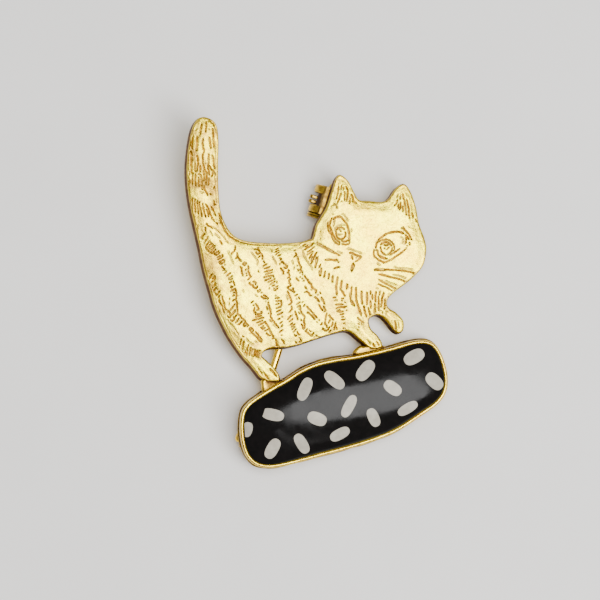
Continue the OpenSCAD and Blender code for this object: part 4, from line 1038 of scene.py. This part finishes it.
def make_sleeve():
    shape, place = Shape(), across(CATCH_FAR)
    near = HOUSING_LEN / 2 + CATCH_GAP
    prism(shape, open_ring(SLEEVE_R, SLEEVE_BORE, MOUTH_W), -near - FLANGE_T, near, place, edge=0.06, value=0.5)
    # The flange: two collars with a fine groove between them
    collar, groove = open_ring(RING_R, SLEEVE_R - 0.05, MOUTH_W), 0.02
    for start in (-near - FLANGE_T, -near - FLANGE_T / 2 + groove):
        prism(shape, collar, start, start + FLANGE_T / 2 - groove, place, edge=0.1, value=0.35)
    thick, half, root = LEVER_T + LEVER_MORE, LEVER_W / 2, SLEEVE_R - 0.15
    tip = arc(half, np.linspace(math.pi / 2, -math.pi / 2, 10)) + [RING_R + LEVER_OUT - half, 0]
    lever = np.vstack([[(root, -half), (root, half)], tip])
    for start in (-LEVER_GAP / 2 - thick - LEVER_SHIFT, LEVER_GAP / 2 - LEVER_SHIFT):
        prism(shape, lever, start, start + thick, place, edge=0.1, value=0.3)
    return shape.build("sleeve", "catch", ["catch_sleeve"], "pin_gold", PIN_GOLD, sharp=35, weighted=True)


def paint_crevice_shade(pieces, walls):
    """Adds painted shade in narrow places to the darkening of the pieces, from how much of the sky the walls hide."""
    places, faces = [], []
    for wall in walls:
        start = len(places)
        places.extend(v.co.copy() for v in wall.data.vertices)
        faces.extend([start + k for k in f.vertices] for f in wall.data.polygons)
    tree = BVHTree.FromPolygons(places, faces)
    # Directions spread over the half sphere like the seeds of a sunflower
    count, spin, lift = 32, 2.4, 0.00002
    rays = [Vector((math.sqrt(t) * math.cos(spin * k), math.sqrt(t) * math.sin(spin * k), math.sqrt(1 - t)))
            for k, t in enumerate((np.arange(count) + 0.5) / count)]
    for piece in pieces:
        layer = piece.data.attributes["wear_and_shade"].data
        wear_and_shade, hidden = np.zeros(len(layer), np.float32), np.zeros(len(layer))
        for k, vertex in enumerate(piece.data.vertices):
            turn = vertex.normal.to_track_quat("Z", "X")
            start = vertex.co + vertex.normal * lift
            for ray in rays:
                hit = tree.ray_cast(start, turn @ ray, CREVICE_SHADE_REACH / 1000)[3]
                if hit is not None:
                    hidden[k] += (1 - 0.6 * hit * 1000 / CREVICE_SHADE_REACH) / count
        layer.foreach_get("value", wear_and_shade)
        layer.foreach_set("value", np.minimum(1, wear_and_shade + 1.3 * np.clip(hidden - 0.08, 0, None)).astype(np.float32))


cat_plate = make_cat()
trim = [make_bezel(), make_feet(), make_catch_housing(), make_hinge(), make_rivet(), make_sleeve()]
pin = make_pin()
make_stone()
paint_crevice_shade(trim, [cat_plate, pin, *trim])


# Floor, light and camera
def make_floor():
    mesh, half = bpy.data.meshes.new("floor"), 0.6
    mesh.from_pydata([(-half, -half, 0), (half, -half, 0), (half, half, 0), (-half, half, 0)], [], [(0, 1, 2, 3)])
    material, tree, shader, place = new_material("pale_floor")
    colour = ramp(tree, texture(tree, place, 0.06, 3), (0.3, (0.88, 0.875, 0.86)), (0.7, (0.91, 0.905, 0.89)))
    tree.links.new(colour, shader.inputs["Base Color"])
    shader.inputs["Roughness"].default_value = 0.6
    mesh.materials.append(material)
    floor = new_object("floor", mesh)


def looking(place, back):
    """The matrix of a camera or light at a place that looks against the direction back, its top towards +Y."""
    back = unit(back)
    right = unit(np.cross([0, 1, 0], back))
    turn = np.column_stack([right, np.cross(back, right), back])
    return Matrix([[*row, v] for row, v in zip(turn, place)] + [[0, 0, 0, 1]])


def make_light(name, place, size, power, turn, shape="RECTANGLE"):
    """A soft light that faces the middle of the frame, turned about its own direction."""
    light = bpy.data.lights.new(name, "AREA")
    light.shape, light.size, light.size_y = shape, *size
    light.energy = power
    lamp = new_object(name, light)
    lamp.matrix_world = looking(np.array(place), np.array(place)) @ Matrix.Rotation(math.radians(turn), 4, "Z")


def make_camera():
    aim = np.array([-2.190, -0.921, 5.0]) / 1000
    slope = math.tan(math.radians(3))
    lean = np.array([slope, -slope, 1.0])
    far, view_w = 0.62, 0.0803
    lens = bpy.data.cameras.new("camera")
    lens.sensor_width = 36
    lens.lens = lens.sensor_width * far / view_w
    lens.clip_start = 0.01
    camera = new_object("camera", lens)
    camera.matrix_world = looking(aim + far * unit(lean), lean)
    bpy.context.scene.camera = camera


def make_world():
    world = bpy.data.worlds.new("studio")
    world.use_nodes = True
    sky = world.node_tree.nodes["Background"]
    sky.inputs["Color"].default_value = (1.0, 0.94, 0.87, 1)
    sky.inputs["Strength"].default_value = 0.42
    bpy.context.scene.world = world


make_floor()
make_world()
make_light("key", (0.16, -0.066, 0.468), (0.54, 0.21), 4.1, -40, "ELLIPSE")
make_light("strip", (0.09, -0.26, 0.44), (0.4, 0.02), 0.07, -54)
make_camera()
